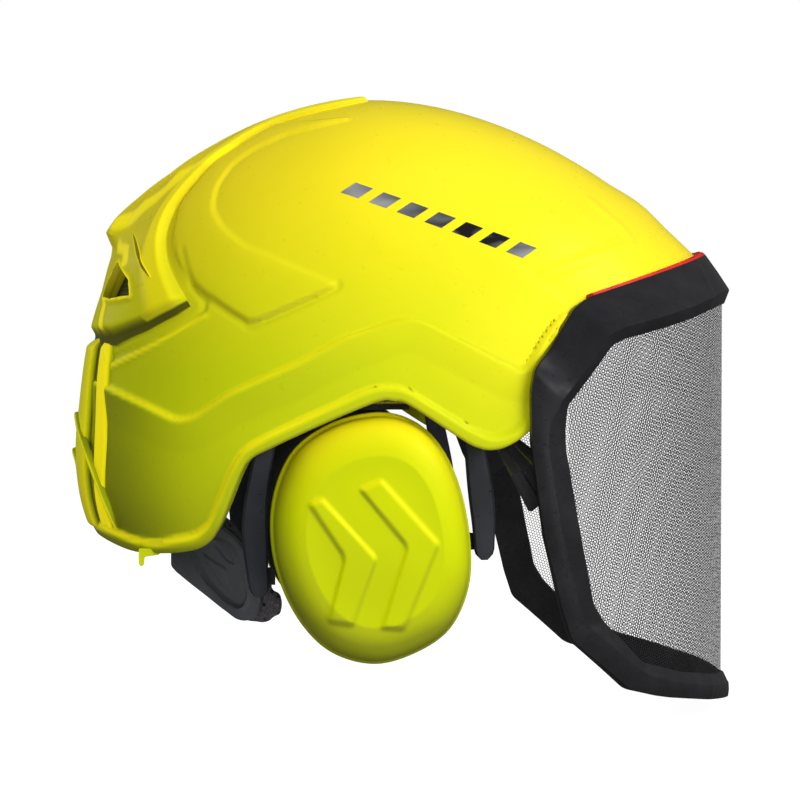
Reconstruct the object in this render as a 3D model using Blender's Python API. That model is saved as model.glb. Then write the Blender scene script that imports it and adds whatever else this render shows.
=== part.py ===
"""Forestry climbing helmet with a mesh face visor, folding ear defenders and a nape cradle.

The helmet faces +X, +Y is the wearer's left and +Z is up. The origin is the centre of the head
opening, level with the top of the ear cut-outs. Every size below is in millimetres; new_solid
turns points into metres as it makes each object.
"""

import math

import bmesh
import bpy
from mathutils import Vector

MM = 0.001
FIT_GAP = 0.4
SIDES = {"R": -1.0, "L": 1.0}

# Outer shell: a dome seen from its own centre, with a radius for each direction.
DOME_X = -14.0
CROWN_HEIGHT = 142.0
BROW_REACH = 29.5
BROW_SPAN = 68.0
BROW_POWER = 2.8
HALF_WIDTH = 107.0
SIDE_POWER = 2.3
BACK_SQUARENESS = 0.25
SHELL_WALL = 3.0
# Back radius against elevation in degrees, from the crown down to the nape.
BACK_RADII = ((-35, 141.0), (-20, 141.0), (-10, 137.5), (0, 133.5), (10, 132.5), (22, 134.5),
              (33, 138.0), (48, 139.5), (64, 139.5), (80, 140.5), (90, 142.0))
# Lower edge in side view, X and Z, from the brow's centre round to the nape's centre.
SHELL_RIM = ((144.0, 66.3), (128, 62), (104, 55.5), (82, 49), (68, 40.5), (60, 29), (55, 16),
             (53, 4), (52.5, -7), (48, -12), (37, -17), (31, -18.3), (25, -17), (18, -13.5), (-5, 2),
             (-12, 4), (-20, 3.5), (-45, -7), (-66, -17), (-74, -21.5), (-79, -29), (-88, -52),
             (-94, -60), (-103, -63.5), (-116, -65), (-127, -65), (-140, -61), (-147, -58))
SHELL_COLUMNS = 50
SHELL_ROWS = 11

# Rear fairing: winged cover over the vents, from the crown notch down to its tail.
FAIRING_EDGE = ((-10, 139), (-45, 131), (-72, 119), (-96, 103), (-108, 88), (-112, 70), (-108, 52),
                (-101, 38), (-118, 30), (-134, 22))
FAIRING_SPINE = (86, 76, 66, 56, 46, 38, 33, 29, 22, 12)
FAIRING_RISE = (2.2, 2.6, 3.2, 4.2, 6.0, 9.0, 11.5, 7.0, 4.0, 4.5)
FAIRING_LIFT = 2.8

# Tail: the spine below the fairing with its two lamp clips and the strap hooks.
TAIL_TOP = 6.0
TAIL_FOOT = -20.0
TAIL_HALF_WIDTH = 16.0
TAIL_RISE = 3.4
LAMP_CLIP_HEIGHTS = {"upper": -11.0, "lower": -27.0}
LAMP_CLIP_WIDTH = 26.0

# Visor: a band and a mesh on an upright elliptical cylinder round the face.
VISOR_X = 50.0
VISOR_REACH = 103.0
VISOR_HALF_WIDTH = 106.5
VISOR_INSIDE = -2.0
VISOR_OUTSIDE = 3.5
VISOR_PIVOT = (8.0, 26.0)
MESH_WALL = 0.7
BROW_GAP = 1.8
BROW_WALL = 2.6
# Rear edge of the brow in side view, X and Z, lying on the shell.
BROW_EDGE = ((142.5, 68.0), (134, 66), (118, 62), (98, 57), (80, 52.5), (70, 47), (61, 38))
# Outer edge of the rails and the bottom bar: turn round the face in degrees, and height.
RAIL_EDGE = ((87.2, 28), (90, 16), (91.1, 3), (90.8, -13), (89, -40), (86.8, -62), (84, -84),
             (80.5, -99), (74, -111), (66, -124), (60, -130), (48, -136), (33, -141), (16, -144.5),
             (0, -146))
# Inner edge of the whole band: turn round the face in degrees, and height.
INNER_EDGE = ((0, 45.5), (14, 45), (30, 43), (45, 40), (58, 35.5), (66, 32), (72.5, 24), (76.5, 14),
              (79.6, 4), (81.2, -8), (81.2, -22), (80.2, -40), (78.6, -58), (76.6, -75), (73.8, -90),
              (70.5, -98), (65, -107), (58.5, -116), (47, -121.5), (33, -127), (16, -131), (0, -132.5))

# Visor arms: from the pivot inside the shell out to the rails.
ARM_Y = 95.0
ARM_WALL = 2.4
PIN_RADIUS = 2.5
PIN_CLEARANCE = 0.4
BOSS_RADIUS = 7.5

# Ear defenders, as on the wearer's left; the right one is its mirror image.
CUP_OUTLINE = ((-19, -2), (-3, -5.5), (9, -16), (18, -34), (23, -58), (22.5, -80), (14, -99),
               (-2, -110), (-21, -114.5), (-41, -108), (-56, -91), (-65, -67), (-65.5, -42),
               (-57, -20), (-40, -7))
CUP_CENTRE = (-21.0, -58.0)
CUP_RIM_Y = 93.0
CUP_FACE_Y = 121.0
CUP_WALL = 2.2
CUP_BACK_Y = 86.5
CUSHION_INNER_Y = 73.0
CUSHION_HOLE = 0.56
YOKE_Y = 87.0
YOKE_WALL = 4.0
YOKE_LEG = 9.0
YOKE_PATH = ((-70.5, -84), (-72.5, -64), (-72.5, -44), (-68.5, -20), (-63, 8), (-50, 31), (-22, 40),
             (6, 35), (19, 15), (24.5, -10), (28, -32), (30, -50), (30.5, -68))
CUP_PIVOT_FRONT = (30.0, -61.0)
CUP_PIVOT_REAR = (-71.0, -76.0)
SWING_Y = 96.5
SWING_Z = 3.0

# Head fitting inside the shell.
LINER_GAP = 6.0
LINER_WALL = 15.0
LINER_EDGE = 26.0
BAND_X = -4.0
BAND_FRONT = 100.0
BAND_BACK = 92.0
BAND_HALF_WIDTH = 74.0
BAND_WALL = 2.4
BAND_HEIGHT = 24.0
PAD_WALL = 5.0
STRAP_WALL = 1.4
STRAP_WIDTH = 19.0
STRAP_TOP = 104.0
CROWN_PAD_RADIUS = 31.0
CROWN_PAD_WALL = 5.0

# Nape cradle and its fit knob.
NAPE_X = -40.0
NAPE_REACH = 66.0
NAPE_HALF_WIDTH = 59.0
NAPE_WALL = 3.0
# Turn round the neck in degrees from the back, with the lower and the upper edge's height.
NAPE_EDGES = ((0, -80, -47), (20, -82, -48), (38, -88, -51), (50, -95, -57), (58, -100, -68),
              (66, -100, -80), (70, -95, -86))
KNOB_RADIUS = 15.0
KNOB_DEPTH = 9.0
KNOB_Z = -36.0
KNOB_BACK = -109.6

COLOURS = {
    "shell_yellow": ((0.72, 0.80, 0.02, 1.0), 0.28, 0.0),
    "black_gloss": ((0.030, 0.031, 0.034, 1.0), 0.30, 0.0),
    "black_satin": ((0.035, 0.036, 0.040, 1.0), 0.50, 0.0),
    "foam_black": ((0.020, 0.020, 0.022, 1.0), 0.90, 0.0),
    "mesh_black": ((0.060, 0.060, 0.065, 1.0), 0.45, 0.8),
    "seal_red": ((0.72, 0.04, 0.04, 1.0), 0.50, 0.0),
    "webbing": ((0.050, 0.050, 0.055, 1.0), 0.85, 0.0),
    "fabric_grey": ((0.110, 0.105, 0.110, 1.0), 0.95, 0.0),
    "pin_steel": ((0.550, 0.560, 0.580, 1.0), 0.30, 1.0),
    "cushion_vinyl": ((0.025, 0.025, 0.028, 1.0), 0.55, 0.0),
}


# ---------------------------------------------------------------------- scene and small tools

def clear_scene():
    """Removes the objects that a new file starts with."""
    for obj in list(bpy.data.objects):
        bpy.data.objects.remove(obj, do_unlink=True)


def material(slot):
    """The Principled material of a named finish, made once."""
    found = bpy.data.materials.get(slot)
    if found:
        return found
    colour, roughness, metallic = COLOURS[slot]
    made = bpy.data.materials.new(slot)
    made.use_nodes = True
    shader = made.node_tree.nodes["Principled BSDF"]
    shader.inputs["Base Color"].default_value = colour
    shader.inputs["Roughness"].default_value = roughness
    shader.inputs["Metallic"].default_value = metallic
    return made


def joint_empty(name, position, parent=None):
    """An empty on a joint's axis, which its moving pieces are parented to."""
    empty = bpy.data.objects.new(name, None)
    empty.empty_display_size = 10 * MM
    bpy.context.scene.collection.objects.link(empty)
    empty["at"] = [float(value) for value in position]
    home = Vector(parent["at"]) if parent else Vector()
    empty.parent = parent
    empty.location = (Vector(position) - home) * MM
    return empty


def new_solid(name, points, faces, slot, parent=None, smooth=True):
    """One named object from points in millimetres, with its faces pointing out."""
    home = Vector(parent["at"]) if parent else Vector()
    mesh = bpy.data.meshes.new(name)
    mesh.from_pydata([(Vector(point) - home) * MM for point in points], [], faces)
    shape = bmesh.new()
    shape.from_mesh(mesh)
    bmesh.ops.recalc_face_normals(shape, faces=shape.faces)
    shape.to_mesh(mesh)
    shape.free()
    if smooth:
        mesh.shade_smooth()
        mesh.set_sharp_from_angle(angle=math.radians(35))
    mesh.materials.append(material(slot))
    obj = bpy.data.objects.new(name, mesh)
    obj.parent = parent
    bpy.context.scene.collection.objects.link(obj)
    return obj


def eased(share):
    """A smooth step from 0 to 1."""
    share = min(1.0, max(0.0, share))
    return share * share * (3 - 2 * share)


def curve_value(knots, x):
    """The height at x of a smooth curve through (x, height) knots in rising order."""
    if x <= knots[0][0]:
        return knots[0][1]
    if x >= knots[-1][0]:
        return knots[-1][1]
    slopes = []
    for index, knot in enumerate(knots):
        before = knots[max(index - 1, 0)]
        after = knots[min(index + 1, len(knots) - 1)]
        slopes.append((after[1] - before[1]) / (after[0] - before[0]))
    for index in range(len(knots) - 1):
        (x0, y0), (x1, y1) = knots[index], knots[index + 1]
        if x <= x1:
            span = x1 - x0
            t = (x - x0) / span
            return ((2 * t**3 - 3 * t**2 + 1) * y0 + (t**3 - 2 * t**2 + t) * span * slopes[index]
                    + (3 * t**2 - 2 * t**3) * y1 + (t**3 - t**2) * span * slopes[index + 1])
    return knots[-1][1]


def spline(knots, count, closed=False):
    """Points at even steps of length on a smooth curve through the knots."""
    knots = [Vector(knot) for knot in knots]
    total = len(knots)
    fine = []
    steps = 12
    for index in range(total if closed else total - 1):
        if closed:
            a, b, c, d = (knots[(index + k) % total] for k in (-1, 0, 1, 2))
        else:
            a, b = knots[max(index - 1, 0)], knots[index]
            c, d = knots[index + 1], knots[min(index + 2, total - 1)]
        for step in range(steps):
            t = step / steps
            fine.append(0.5 * (2 * b + (c - a) * t + (2 * a - 5 * b + 4 * c - d) * t**2
                               + (3 * b - a - 3 * c + d) * t**3))
    fine.append(fine[0] if closed else knots[-1])
    lengths = [0.0]
    for first, second in zip(fine, fine[1:]):
        lengths.append(lengths[-1] + (second - first).length)
    points = []
    segment = 0
    for index in range(count):
        wanted = lengths[-1] * index / (count if closed else count - 1)
        while segment < len(lengths) - 2 and lengths[segment + 1] < wanted:
            segment += 1
        span = lengths[segment + 1] - lengths[segment]
        share = (wanted - lengths[segment]) / span if span else 0.0
        points.append(fine[segment].lerp(fine[segment + 1], share))
    return points


def bridge_rings(rings, closed_path=False, first_cap=True, last_cap=True):
    """Points and faces of a skin over rings of equal length, capped at its ends or closed."""
    size = len(rings[0])
    points = [point for ring in rings for point in ring]
    faces = []
    for index in range(len(rings) if closed_path else len(rings) - 1):
        here, there = index * size, (index + 1) % len(rings) * size
        for k in range(size):
            n = (k + 1) % size
            faces.append((here + k, here + n, there + n, there + k))
    if not closed_path:
        if first_cap:
            faces.append(tuple(range(size)))
        if last_cap:
            faces.append(tuple(reversed(range(len(points) - size, len(points)))))
    return points, faces


def thick_sheet(name, outer, inner, slot, parent=None):
    """A solid between two grids of points, rows of equal length, closed round their edges."""
    rows, columns = len(outer), len(outer[0])
    points = [point for row in outer for point in row] + [point for row in inner for point in row]
    shift = rows * columns
    faces = []
    for i in range(rows - 1):
        for j in range(columns - 1):
            quad = (i * columns + j, i * columns + j + 1, (i + 1) * columns + j + 1,
                    (i + 1) * columns + j)
            faces.append(quad)
            faces.append(tuple(reversed([index + shift for index in quad])))
    loop = [j for j in range(columns)]
    loop += [i * columns + columns - 1 for i in range(1, rows)]
    loop += [(rows - 1) * columns + j for j in range(columns - 2, -1, -1)]
    loop += [i * columns for i in range(rows - 2, 0, -1)]
    for here, there in zip(loop, loop[1:] + loop[:1]):
        faces.append((here, there, there + shift, here + shift))
    return new_solid(name, points, faces, slot, parent)


def rod(name, start, end, radius, slot, parent=None, sides=16):
    """A round pin from start to end."""
    start, end = Vector(start), Vector(end)
    along = (end - start).normalized()
    across = along.orthogonal().normalized()
    other = along.cross(across)
    rings = []
    for centre in (start, end):
        rings.append([centre + radius * (math.cos(turn) * across + math.sin(turn) * other)
                      for turn in (2 * math.pi * k / sides for k in range(sides))])
    points, faces = bridge_rings(rings)
    return new_solid(name, points, faces, slot, parent)


def flat_plate(name, outline, y_near, y_far, slot, parent=None, hole=None, smooth=False):
    """A plate in side view, between two depths, with an optional round hole (x, z, radius)."""
    near = [(x, y_near, z) for x, z in outline]
    far = [(x, y_far, z) for x, z in outline]
    points, faces = bridge_rings([near, far])
    plate = new_solid(name, points, faces, slot, parent, smooth)
    if hole:
        x, z, radius = hole
        cut_round_hole(plate, (x, min(y_near, y_far) - 5, z), (x, max(y_near, y_far) + 5, z), radius)
    return plate


def cut_round_hole(target, start, end, radius):
    """Bores a round hole through an object with a hidden cutter."""
    home = target.parent
    cutter = rod(f"{target.name}_bore", start, end, radius, "pin_steel", home, 24)
    cutter.hide_render = True
    cutter.display_type = "WIRE"
    cut = target.modifiers.new("Bore", "BOOLEAN")
    cut.operation = "DIFFERENCE"
    cut.solver = "EXACT"
    cut.object = cutter


# ---------------------------------------------------------------------- the dome's surface

def front_radius(elevation):
    """Centre-line radius ahead of the crown, which reaches out to the brow."""
    return CROWN_HEIGHT + BROW_REACH * (max(0.0, 90 - elevation) / BROW_SPAN) ** BROW_POWER


def side_radius(elevation):
    """Radius straight out to the side: a rounded arch above, nearly upright below."""
    lean = math.radians(elevation)
    if elevation <= 0:
        return HALF_WIDTH / math.cos(lean)
    across = (math.cos(lean) / HALF_WIDTH) ** SIDE_POWER
    up = (math.sin(lean) / CROWN_HEIGHT) ** SIDE_POWER
    return (across + up) ** (-1 / SIDE_POWER)


def dome_radius(azimuth, elevation):
    """Radius of the shell's outer face. Azimuth 0 is the front and 180 the back, in degrees."""
    turn = math.radians(azimuth)
    behind = math.cos(turn) < 0
    along = curve_value(BACK_RADII, elevation) if behind else front_radius(elevation)
    flat = math.cos(math.radians(elevation)) ** 2
    power = 2 + (BACK_SQUARENESS * flat * math.cos(turn) ** 2 if behind else 0.0)
    share = ((abs(math.cos(turn)) / along) ** power
             + (abs(math.sin(turn)) / side_radius(elevation)) ** power)
    return share ** (-1 / power)


def dome_point(azimuth, elevation, offset=0.0):
    """A point on the shell's outer face, moved out by offset along its radius."""
    turn, lean = math.radians(azimuth), math.radians(elevation)
    radius = dome_radius(azimuth, elevation) + offset
    return Vector((DOME_X + radius * math.cos(lean) * math.cos(turn),
                   radius * math.cos(lean) * math.sin(turn), radius * math.sin(lean)))


def elevation_at(azimuth, height):
    """The elevation at which the dome has this height, at one azimuth."""
    low, high = -60.0, 90.0
    for _ in range(40):
        middle = (low + high) / 2
        if dome_point(azimuth, middle).z < height:
            low = middle
        else:
            high = middle
    return (low + high) / 2


def direction_at(x, z):
    """Azimuth and elevation of the point of the left side that is seen at X and Z."""
    low, high = 0.0, 180.0
    for _ in range(40):
        middle = (low + high) / 2
        if dome_point(middle, elevation_at(middle, z)).x > x:
            low = middle
        else:
            high = middle
    azimuth = (low + high) / 2
    return azimuth, elevation_at(azimuth, z)


def rim_directions(rim, count):
    """Azimuth and elevation at even steps along half a rim, front to back."""
    half = [direction_at(x, z) for x, z in (point.to_2d() for point in
                                           spline([(x, z, 0) for x, z in rim], count))]
    half[0] = (0.0, half[0][1])
    half[-1] = (180.0, half[-1][1])
    return half


def dome_rings(rim_half, rows, offset):
    """Rings of a dome from just below the crown down to the rim, all the way round."""
    columns = len(rim_half) - 1
    whole = list(rim_half) + [(360 - azimuth, elevation) for azimuth, elevation
                              in reversed(rim_half[1:-1])]
    rings = []
    for row in range(1, rows + 1):
        share = row / rows
        ring = []
        for index, (azimuth, elevation) in enumerate(whole):
            even = 180.0 * index / columns
            turned = even + (azimuth - even) * share**2
            ring.append(dome_point(turned, 90 - (90 - elevation) * share, offset))
        rings.append(ring)
    return rings


def dome_shell(name, rim_half, rows, outside, wall, slot):
    """A closed dome of even wall, open below, between two offsets from the outer face."""
    outer = dome_rings(rim_half, rows, outside)
    inner = dome_rings(rim_half, rows, outside - wall)
    size = len(outer[0])
    points, faces = bridge_rings(outer + inner[::-1], first_cap=False, last_cap=False)
    top, under = len(points), len(points) + 1
    points = points + [dome_point(0, 90, outside), dome_point(0, 90, outside - wall)]
    last = (2 * rows - 1) * size
    for k in range(size):
        n = (k + 1) % size
        faces.append((top, n, k))
        faces.append((under, last + k, last + n))
    return new_solid(name, points, faces, slot)


def dome_patch(name, rows, low, high, slot, parent=None):
    """A plate on the dome. rows are lists of (azimuth, elevation, extra height)."""
    outer = [[dome_point(a, e, high + extra) for a, e, extra in row] for row in rows]
    inner = [[dome_point(a, e, low) for a, e, extra in row] for row in rows]
    return thick_sheet(name, outer, inner, slot, parent)


# ---------------------------------------------------------------------- shell and fairing

def build_outer_shell():
    """The hard outer shell with its ear cut-outs and brow edge."""
    rim = rim_directions(SHELL_RIM, SHELL_COLUMNS)
    return dome_shell("outer_shell", rim, SHELL_ROWS, 0.0, SHELL_WALL, "shell_yellow")


def build_rear_fairing():
    """The winged cover over the rear vents, one plate from edge to edge across the spine."""
    across = 17
    rows = []
    knots = [(x, z, spine) for (x, z), spine in zip(FAIRING_EDGE, FAIRING_SPINE)]
    for index, (x, z, spine) in enumerate(spline(knots, 19)):
        rise = curve_value(list(enumerate(FAIRING_RISE)), index / 2)
        azimuth, elevation = direction_at(x, z)
        row = []
        for step in range(across):
            share = step / (across - 1) * 2 - 1
            inward = 1 - abs(share)
            turn = 180 - (180 - azimuth) * -share
            height = elevation + (spine - elevation) * eased(inward)
            row.append((turn, height, rise * eased(inward * 1.4)))
        rows.append(row)
    return dome_patch("rear_fairing", rows, 2 * FIT_GAP, FAIRING_LIFT, "shell_yellow")


def build_tail_spine():
    """The raised spine down the back, below the fairing."""
    rows = []
    for step in range(6):
        elevation = TAIL_TOP + (TAIL_FOOT - TAIL_TOP) * step / 5
        half = math.degrees(TAIL_HALF_WIDTH * (1 - 0.25 * step / 5) / 140)
        rows.append([(180 + half * k, elevation, -1.8 * abs(k)) for k in (-1, -0.6, 0, 0.6, 1)])
    return dome_patch("tail_spine", rows, FIT_GAP, FIT_GAP + TAIL_RISE, "shell_yellow")


def build_lamp_clips():
    """Two flat bars that stand off the tail spine, for a head lamp's strap."""
    for name, height in LAMP_CLIP_HEIGHTS.items():
        elevation = elevation_at(180, height)
        front = dome_point(180, elevation, FIT_GAP * 2 + TAIL_RISE).x
        half = LAMP_CLIP_WIDTH / 2
        outline = [(front - 0.2, height - 4), (front - 0.2, height + 4), (front - 2.6, height + 4),
                   (front - 3.6, height + 1), (front - 3.6, height - 4)]
        flat_plate(f"lamp_clip_{name}", outline, -half, half, "shell_yellow")


def build_strap_hooks():
    """A small hook below each side of the nape edge, for the lamp strap."""
    outline = ((-112, -65.8), (-122, -65.8), (-122, -75), (-119.5, -76.5), (-117.5, -75),
               (-117.5, -70.5), (-112, -69.8))
    for side, sign in SIDES.items():
        flat_plate(f"strap_hook_{side}", outline, sign * 62, sign * 67, "shell_yellow")


def cut_rear_vents(pieces):
    """Cuts one triangular vent each side of the spine, through the fairing and the shell."""
    for side, sign in SIDES.items():
        rows = [[(180 + sign * turn, elevation, 0.0) for turn in turns]
                for elevation, turns in ((17, (10, 22)), (33, (11.5, 14)))]
        cutter = dome_patch(f"vent_cutter_{side}", rows, -9, 18, "black_satin")
        cutter.hide_render = True
        cutter.display_type = "WIRE"
        for piece in pieces:
            cut = piece.modifiers.new(f"Vent_{side}", "BOOLEAN")
            cut.operation = "DIFFERENCE"
            cut.solver = "EXACT"
            cut.object = cutter


def build_vent_grilles():
    """A fine grille inside each rear vent, tucked under the fairing's wing."""
    for side, sign in SIDES.items():
        rows = []
        for elevation in (37, 30, 23, 16):
            rows.append([(180 + sign * turn, elevation, 0.0) for turn in (8, 15, 22, 28)])
        dome_patch(f"vent_grille_{side}", rows, -SHELL_WALL - 2.7, -SHELL_WALL - 1.5, "mesh_black")


# ---------------------------------------------------------------------- visor

def visor_point(turn, height, offset=0.0):
    """A point on the visor's cylinder: turn round the face from the front, in degrees."""
    angle = math.radians(turn)
    flat = Vector((math.cos(angle) / VISOR_REACH, math.sin(angle) / VISOR_HALF_WIDTH, 0)).normalized()
    return Vector((VISOR_X + VISOR_REACH * math.cos(angle),
                   VISOR_HALF_WIDTH * math.sin(angle), height)) + flat * offset


def brow_point(x, z, offset):
    """A point of the brow's rear edge, standing off the shell."""
    azimuth, elevation = direction_at(x, z)
    return dome_point(azimuth, elevation, offset)


def visor_edges(count):
    """Matching points of the band's outer and inner edge over the left half, as four lists."""
    brow_under = [brow_point(x, z, BROW_GAP) for x, z in BROW_EDGE]
    brow_over = [brow_point(x, z, BROW_GAP + BROW_WALL) for x, z in BROW_EDGE]
    outer_under = brow_under + [visor_point(t, z, VISOR_INSIDE) for t, z in RAIL_EDGE]
    outer_over = brow_over + [visor_point(t, z, VISOR_OUTSIDE) for t, z in RAIL_EDGE]
    for points in (outer_under, outer_over):
        points[0].y = 0.0
    inner_under = [visor_point(t, z, VISOR_INSIDE) for t, z in INNER_EDGE]
    inner_over = [visor_point(t, z, VISOR_OUTSIDE) for t, z in INNER_EDGE]
    return [spline(points, count) for points in (outer_under, outer_over, inner_over, inner_under)]


def build_visor_frame(parent):
    """The visor's band: brow, two rails and bottom bar in one closed ring."""
    count = 34
    edges = visor_edges(count)
    half = [[edge[k] for edge in edges] for k in range(count)]
    mirrored = [[Vector((p.x, -p.y, p.z)) for p in section] for section in reversed(half[1:-1])]
    points, faces = bridge_rings(half + mirrored, closed_path=True)
    return new_solid("visor_frame", points, faces, "black_gloss", parent)


def mesh_limits(turn):
    """Lower and upper height of the visor's opening at one turn round the face."""
    middle = 10
    top = curve_value([(t, z) for t, z in INNER_EDGE[:middle]], turn)
    bottom = curve_value([(t, z) for t, z in reversed(INNER_EDGE[middle:])], turn)
    return bottom, top


def build_visor_mesh(parent):
    """The curved wire mesh that fills the visor's band."""
    gap = FIT_GAP + 1.3
    turns = [77.2 * math.sin(math.pi / 2 * k / 10) for k in range(-10, 11)]
    outer, inner = [], []
    for step in range(7):
        row_out, row_in = [], []
        for turn in turns:
            bottom, top = mesh_limits(abs(turn))
            height = bottom + gap + (top - bottom - 2 * gap) * step / 6
            row_out.append(visor_point(turn, height, MESH_WALL / 2))
            row_in.append(visor_point(turn, height, -MESH_WALL / 2))
        outer.append(row_out)
        inner.append(row_in)
    return thick_sheet("visor_mesh", outer, inner, "mesh_black", parent)


def build_lip_seal(parent):
    """The red rubber lip along the brow's rear edge."""
    rings = []
    for turned in spline([brow_point(x, z, 0) for x, z in BROW_EDGE[:4] + ((91, 55.2),)], 12):
        azimuth = math.degrees(math.atan2(turned.y, turned.x - DOME_X))
        elevation = math.degrees(math.asin(turned.z / (turned - Vector((DOME_X, 0, 0))).length))
        rings.append([dome_point(azimuth, elevation + lift, out) for lift, out in
                      ((0.35, 0.6), (1.1, 0.6), (0.9, 2.4), (0.35, 3.0))])
    rings[0] = [Vector((p.x, 0, p.z)) for p in rings[0]]
    mirrored = [[Vector((p.x, -p.y, p.z)) for p in ring] for ring in rings[:0:-1]]
    points, faces = bridge_rings(mirrored + rings)
    return new_solid("visor_lip_seal", points, faces, "seal_red", parent)


def build_visor_arms(parent):
    """The two arms that carry the visor on its pivot pins, flaring out to the rails."""
    px, pz = VISOR_PIVOT
    # Reach from the pivot, half-width there, and how far the arm has flared out.
    stations = ((-7.5, 3.5, 0.0), (-4.0, 7.0, 0.0), (6.0, 7.5, 0.0), (22.0, 6.5, 0.0),
                (38.0, 5.5, 0.0), (46.0, 5.0, -2.0), (54.0, 5.5, -2.0), (65.0, 8.0, 6.0), (82.0, 11.0, 6.6))
    slope = math.radians(-53)
    along = Vector((math.cos(slope), 0, math.sin(slope)))
    across = Vector((-math.sin(slope), 0, math.cos(slope)))
    for side, sign in SIDES.items():
        rings = []
        for reach, half, flare in stations:
            centre = Vector((px, 0, pz)) + along * reach
            near, far = sign * (ARM_Y - ARM_WALL / 2 + flare), sign * (ARM_Y + ARM_WALL / 2 + flare)
            ring = [centre + across * half, centre - across * half]
            rings.append([Vector((ring[0].x, near, ring[0].z)), Vector((ring[1].x, near, ring[1].z)),
                          Vector((ring[1].x, far, ring[1].z)), Vector((ring[0].x, far, ring[0].z))])
        points, faces = bridge_rings(rings)
        arm = new_solid(f"visor_arm_{side}", points, faces, "black_gloss", parent)
        reach_y = sign * (ARM_Y + 4)
        start_y = sign * (ARM_Y - 4)
        cut_round_hole(arm, (px, start_y, pz), (px, reach_y, pz), PIN_RADIUS + PIN_CLEARANCE)


def build_visor_pins():
    """A stepped pivot pin on each side, from the head frame out to the shell's wall."""
    px, pz = VISOR_PIVOT
    azimuth, elevation = direction_at(px, pz)
    wall = dome_point(azimuth, elevation, -SHELL_WALL).y
    for side, sign in SIDES.items():
        rod(f"visor_pin_{side}", (px, sign * (ARM_Y - 3.2), pz), (px, sign * (wall - 1.2), pz),
            PIN_RADIUS, "pin_steel")


def build_visor_catches():
    """The spring catch on each side of the brow that the lowered visor clicks on to."""
    for side, sign in SIDES.items():
        outline = ((78, 22), (84, 25), (84, 38), (78, 38))
        flat_plate(f"visor_catch_{side}", outline, sign * 82, sign * 76, "black_satin")


# ---------------------------------------------------------------------- ear defenders

def scaled_outline(points, centre, share):
    """An outline drawn in towards its centre."""
    cx, cz = centre
    return [(cx + (x - cx) * share, cz + (z - cz) * share) for x, z in points]


def cup_ring(share, y, sign, count=28):
    """One ring of the ear cup's egg outline, at a depth."""
    outline = spline([(x, z, 0) for x, z in CUP_OUTLINE], count, closed=True)
    flat = scaled_outline([(p.x, p.y) for p in outline], CUP_CENTRE, share)
    return [Vector((x, sign * y, z)) for x, z in flat]


def build_cup(side, sign, parent):
    """The ear cup: cover, base, cushion and sound foam, from the outside in."""
    depth = CUP_FACE_Y - CUP_RIM_Y
    cover = []
    # Share of the outline against share of the depth, up the outside and back down the inside.
    for share, out in ((1.0, 0.0), (1.0, 0.18), (0.97, 0.45), (0.88, 0.74), (0.72, 0.93), (0.42, 1.0)):
        cover.append(cup_ring(share, CUP_RIM_Y + depth * out, sign))
    for share, out in ((0.40, 0.91), (0.68, 0.84), (0.83, 0.66), (0.92, 0.42), (0.95, 0.18), (0.95, 0.0)):
        cover.append(cup_ring(share, CUP_RIM_Y + depth * out, sign))
    outside, inside = cover[:6], cover[6:]
    points, faces = bridge_rings(inside + outside)
    new_solid(f"cup_cover_{side}", points, faces, "shell_yellow", parent)

    inner_share, lip = 0.93, 0.74
    base = [cup_ring(s, y, sign) for s, y in (
        (lip, CUP_BACK_Y), (0.98, CUP_BACK_Y), (0.99, CUP_RIM_Y - FIT_GAP),
        (inner_share, CUP_RIM_Y - FIT_GAP), (inner_share - 0.01, CUP_RIM_Y + 5),
        (0.83, CUP_RIM_Y + 15), (0.80, CUP_RIM_Y + 15), (0.88, CUP_RIM_Y + 4),
        (0.90, CUP_BACK_Y + 2.2), (lip, CUP_BACK_Y + 2.2))]
    points, faces = bridge_rings(base, closed_path=True)
    new_solid(f"cup_base_{side}", points, faces, "black_satin", parent)

    cushion = [cup_ring(s, y, sign, 24) for s, y in (
        (CUSHION_HOLE, CUP_BACK_Y - 1), (CUSHION_HOLE, CUSHION_INNER_Y + 3),
        (CUSHION_HOLE + 0.10, CUSHION_INNER_Y), (0.84, CUSHION_INNER_Y), (0.95, CUSHION_INNER_Y + 3.5),
        (0.95, CUP_BACK_Y - 2.5), (0.88, CUP_BACK_Y - FIT_GAP), (CUSHION_HOLE + 0.1, CUP_BACK_Y - FIT_GAP))]
    points, faces = bridge_rings(cushion, closed_path=True)
    new_solid(f"ear_cushion_{side}", points, faces, "cushion_vinyl", parent)

    foam = [cup_ring(s, y, sign, 20) for s, y in (
        (0.74, CUP_RIM_Y + 7), (0.74, CUP_RIM_Y + 15.5), (0.60, CUP_RIM_Y + 21.5))]
    points, faces = bridge_rings(foam)
    new_solid(f"sound_foam_{side}", points, faces, "foam_black", parent)


def build_yoke(side, sign, parent):
    """The bail that holds the cup by both ends of its pivot line."""
    path = spline([(x, z, 0) for x, z in YOKE_PATH], 26)
    rings = []
    for index, point in enumerate(path):
        before = path[max(index - 1, 0)]
        after = path[min(index + 1, len(path) - 1)]
        along = (after - before).normalized()
        across = Vector((-along.y, along.x, 0)) * YOKE_LEG / 2
        end = min(index, len(path) - 1 - index)
        across *= 0.72 if end == 0 else 1.0
        near, far = YOKE_Y - YOKE_WALL / 2, YOKE_Y + YOKE_WALL / 2
        a, b = point + across, point - across
        rings.append([Vector((a.x, sign * near, a.y)), Vector((b.x, sign * near, b.y)),
                      Vector((b.x, sign * far, b.y)), Vector((a.x, sign * far, a.y))])
    points, faces = bridge_rings(rings)
    new_solid(f"ear_yoke_{side}", points, faces, "black_satin", parent)


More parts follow.
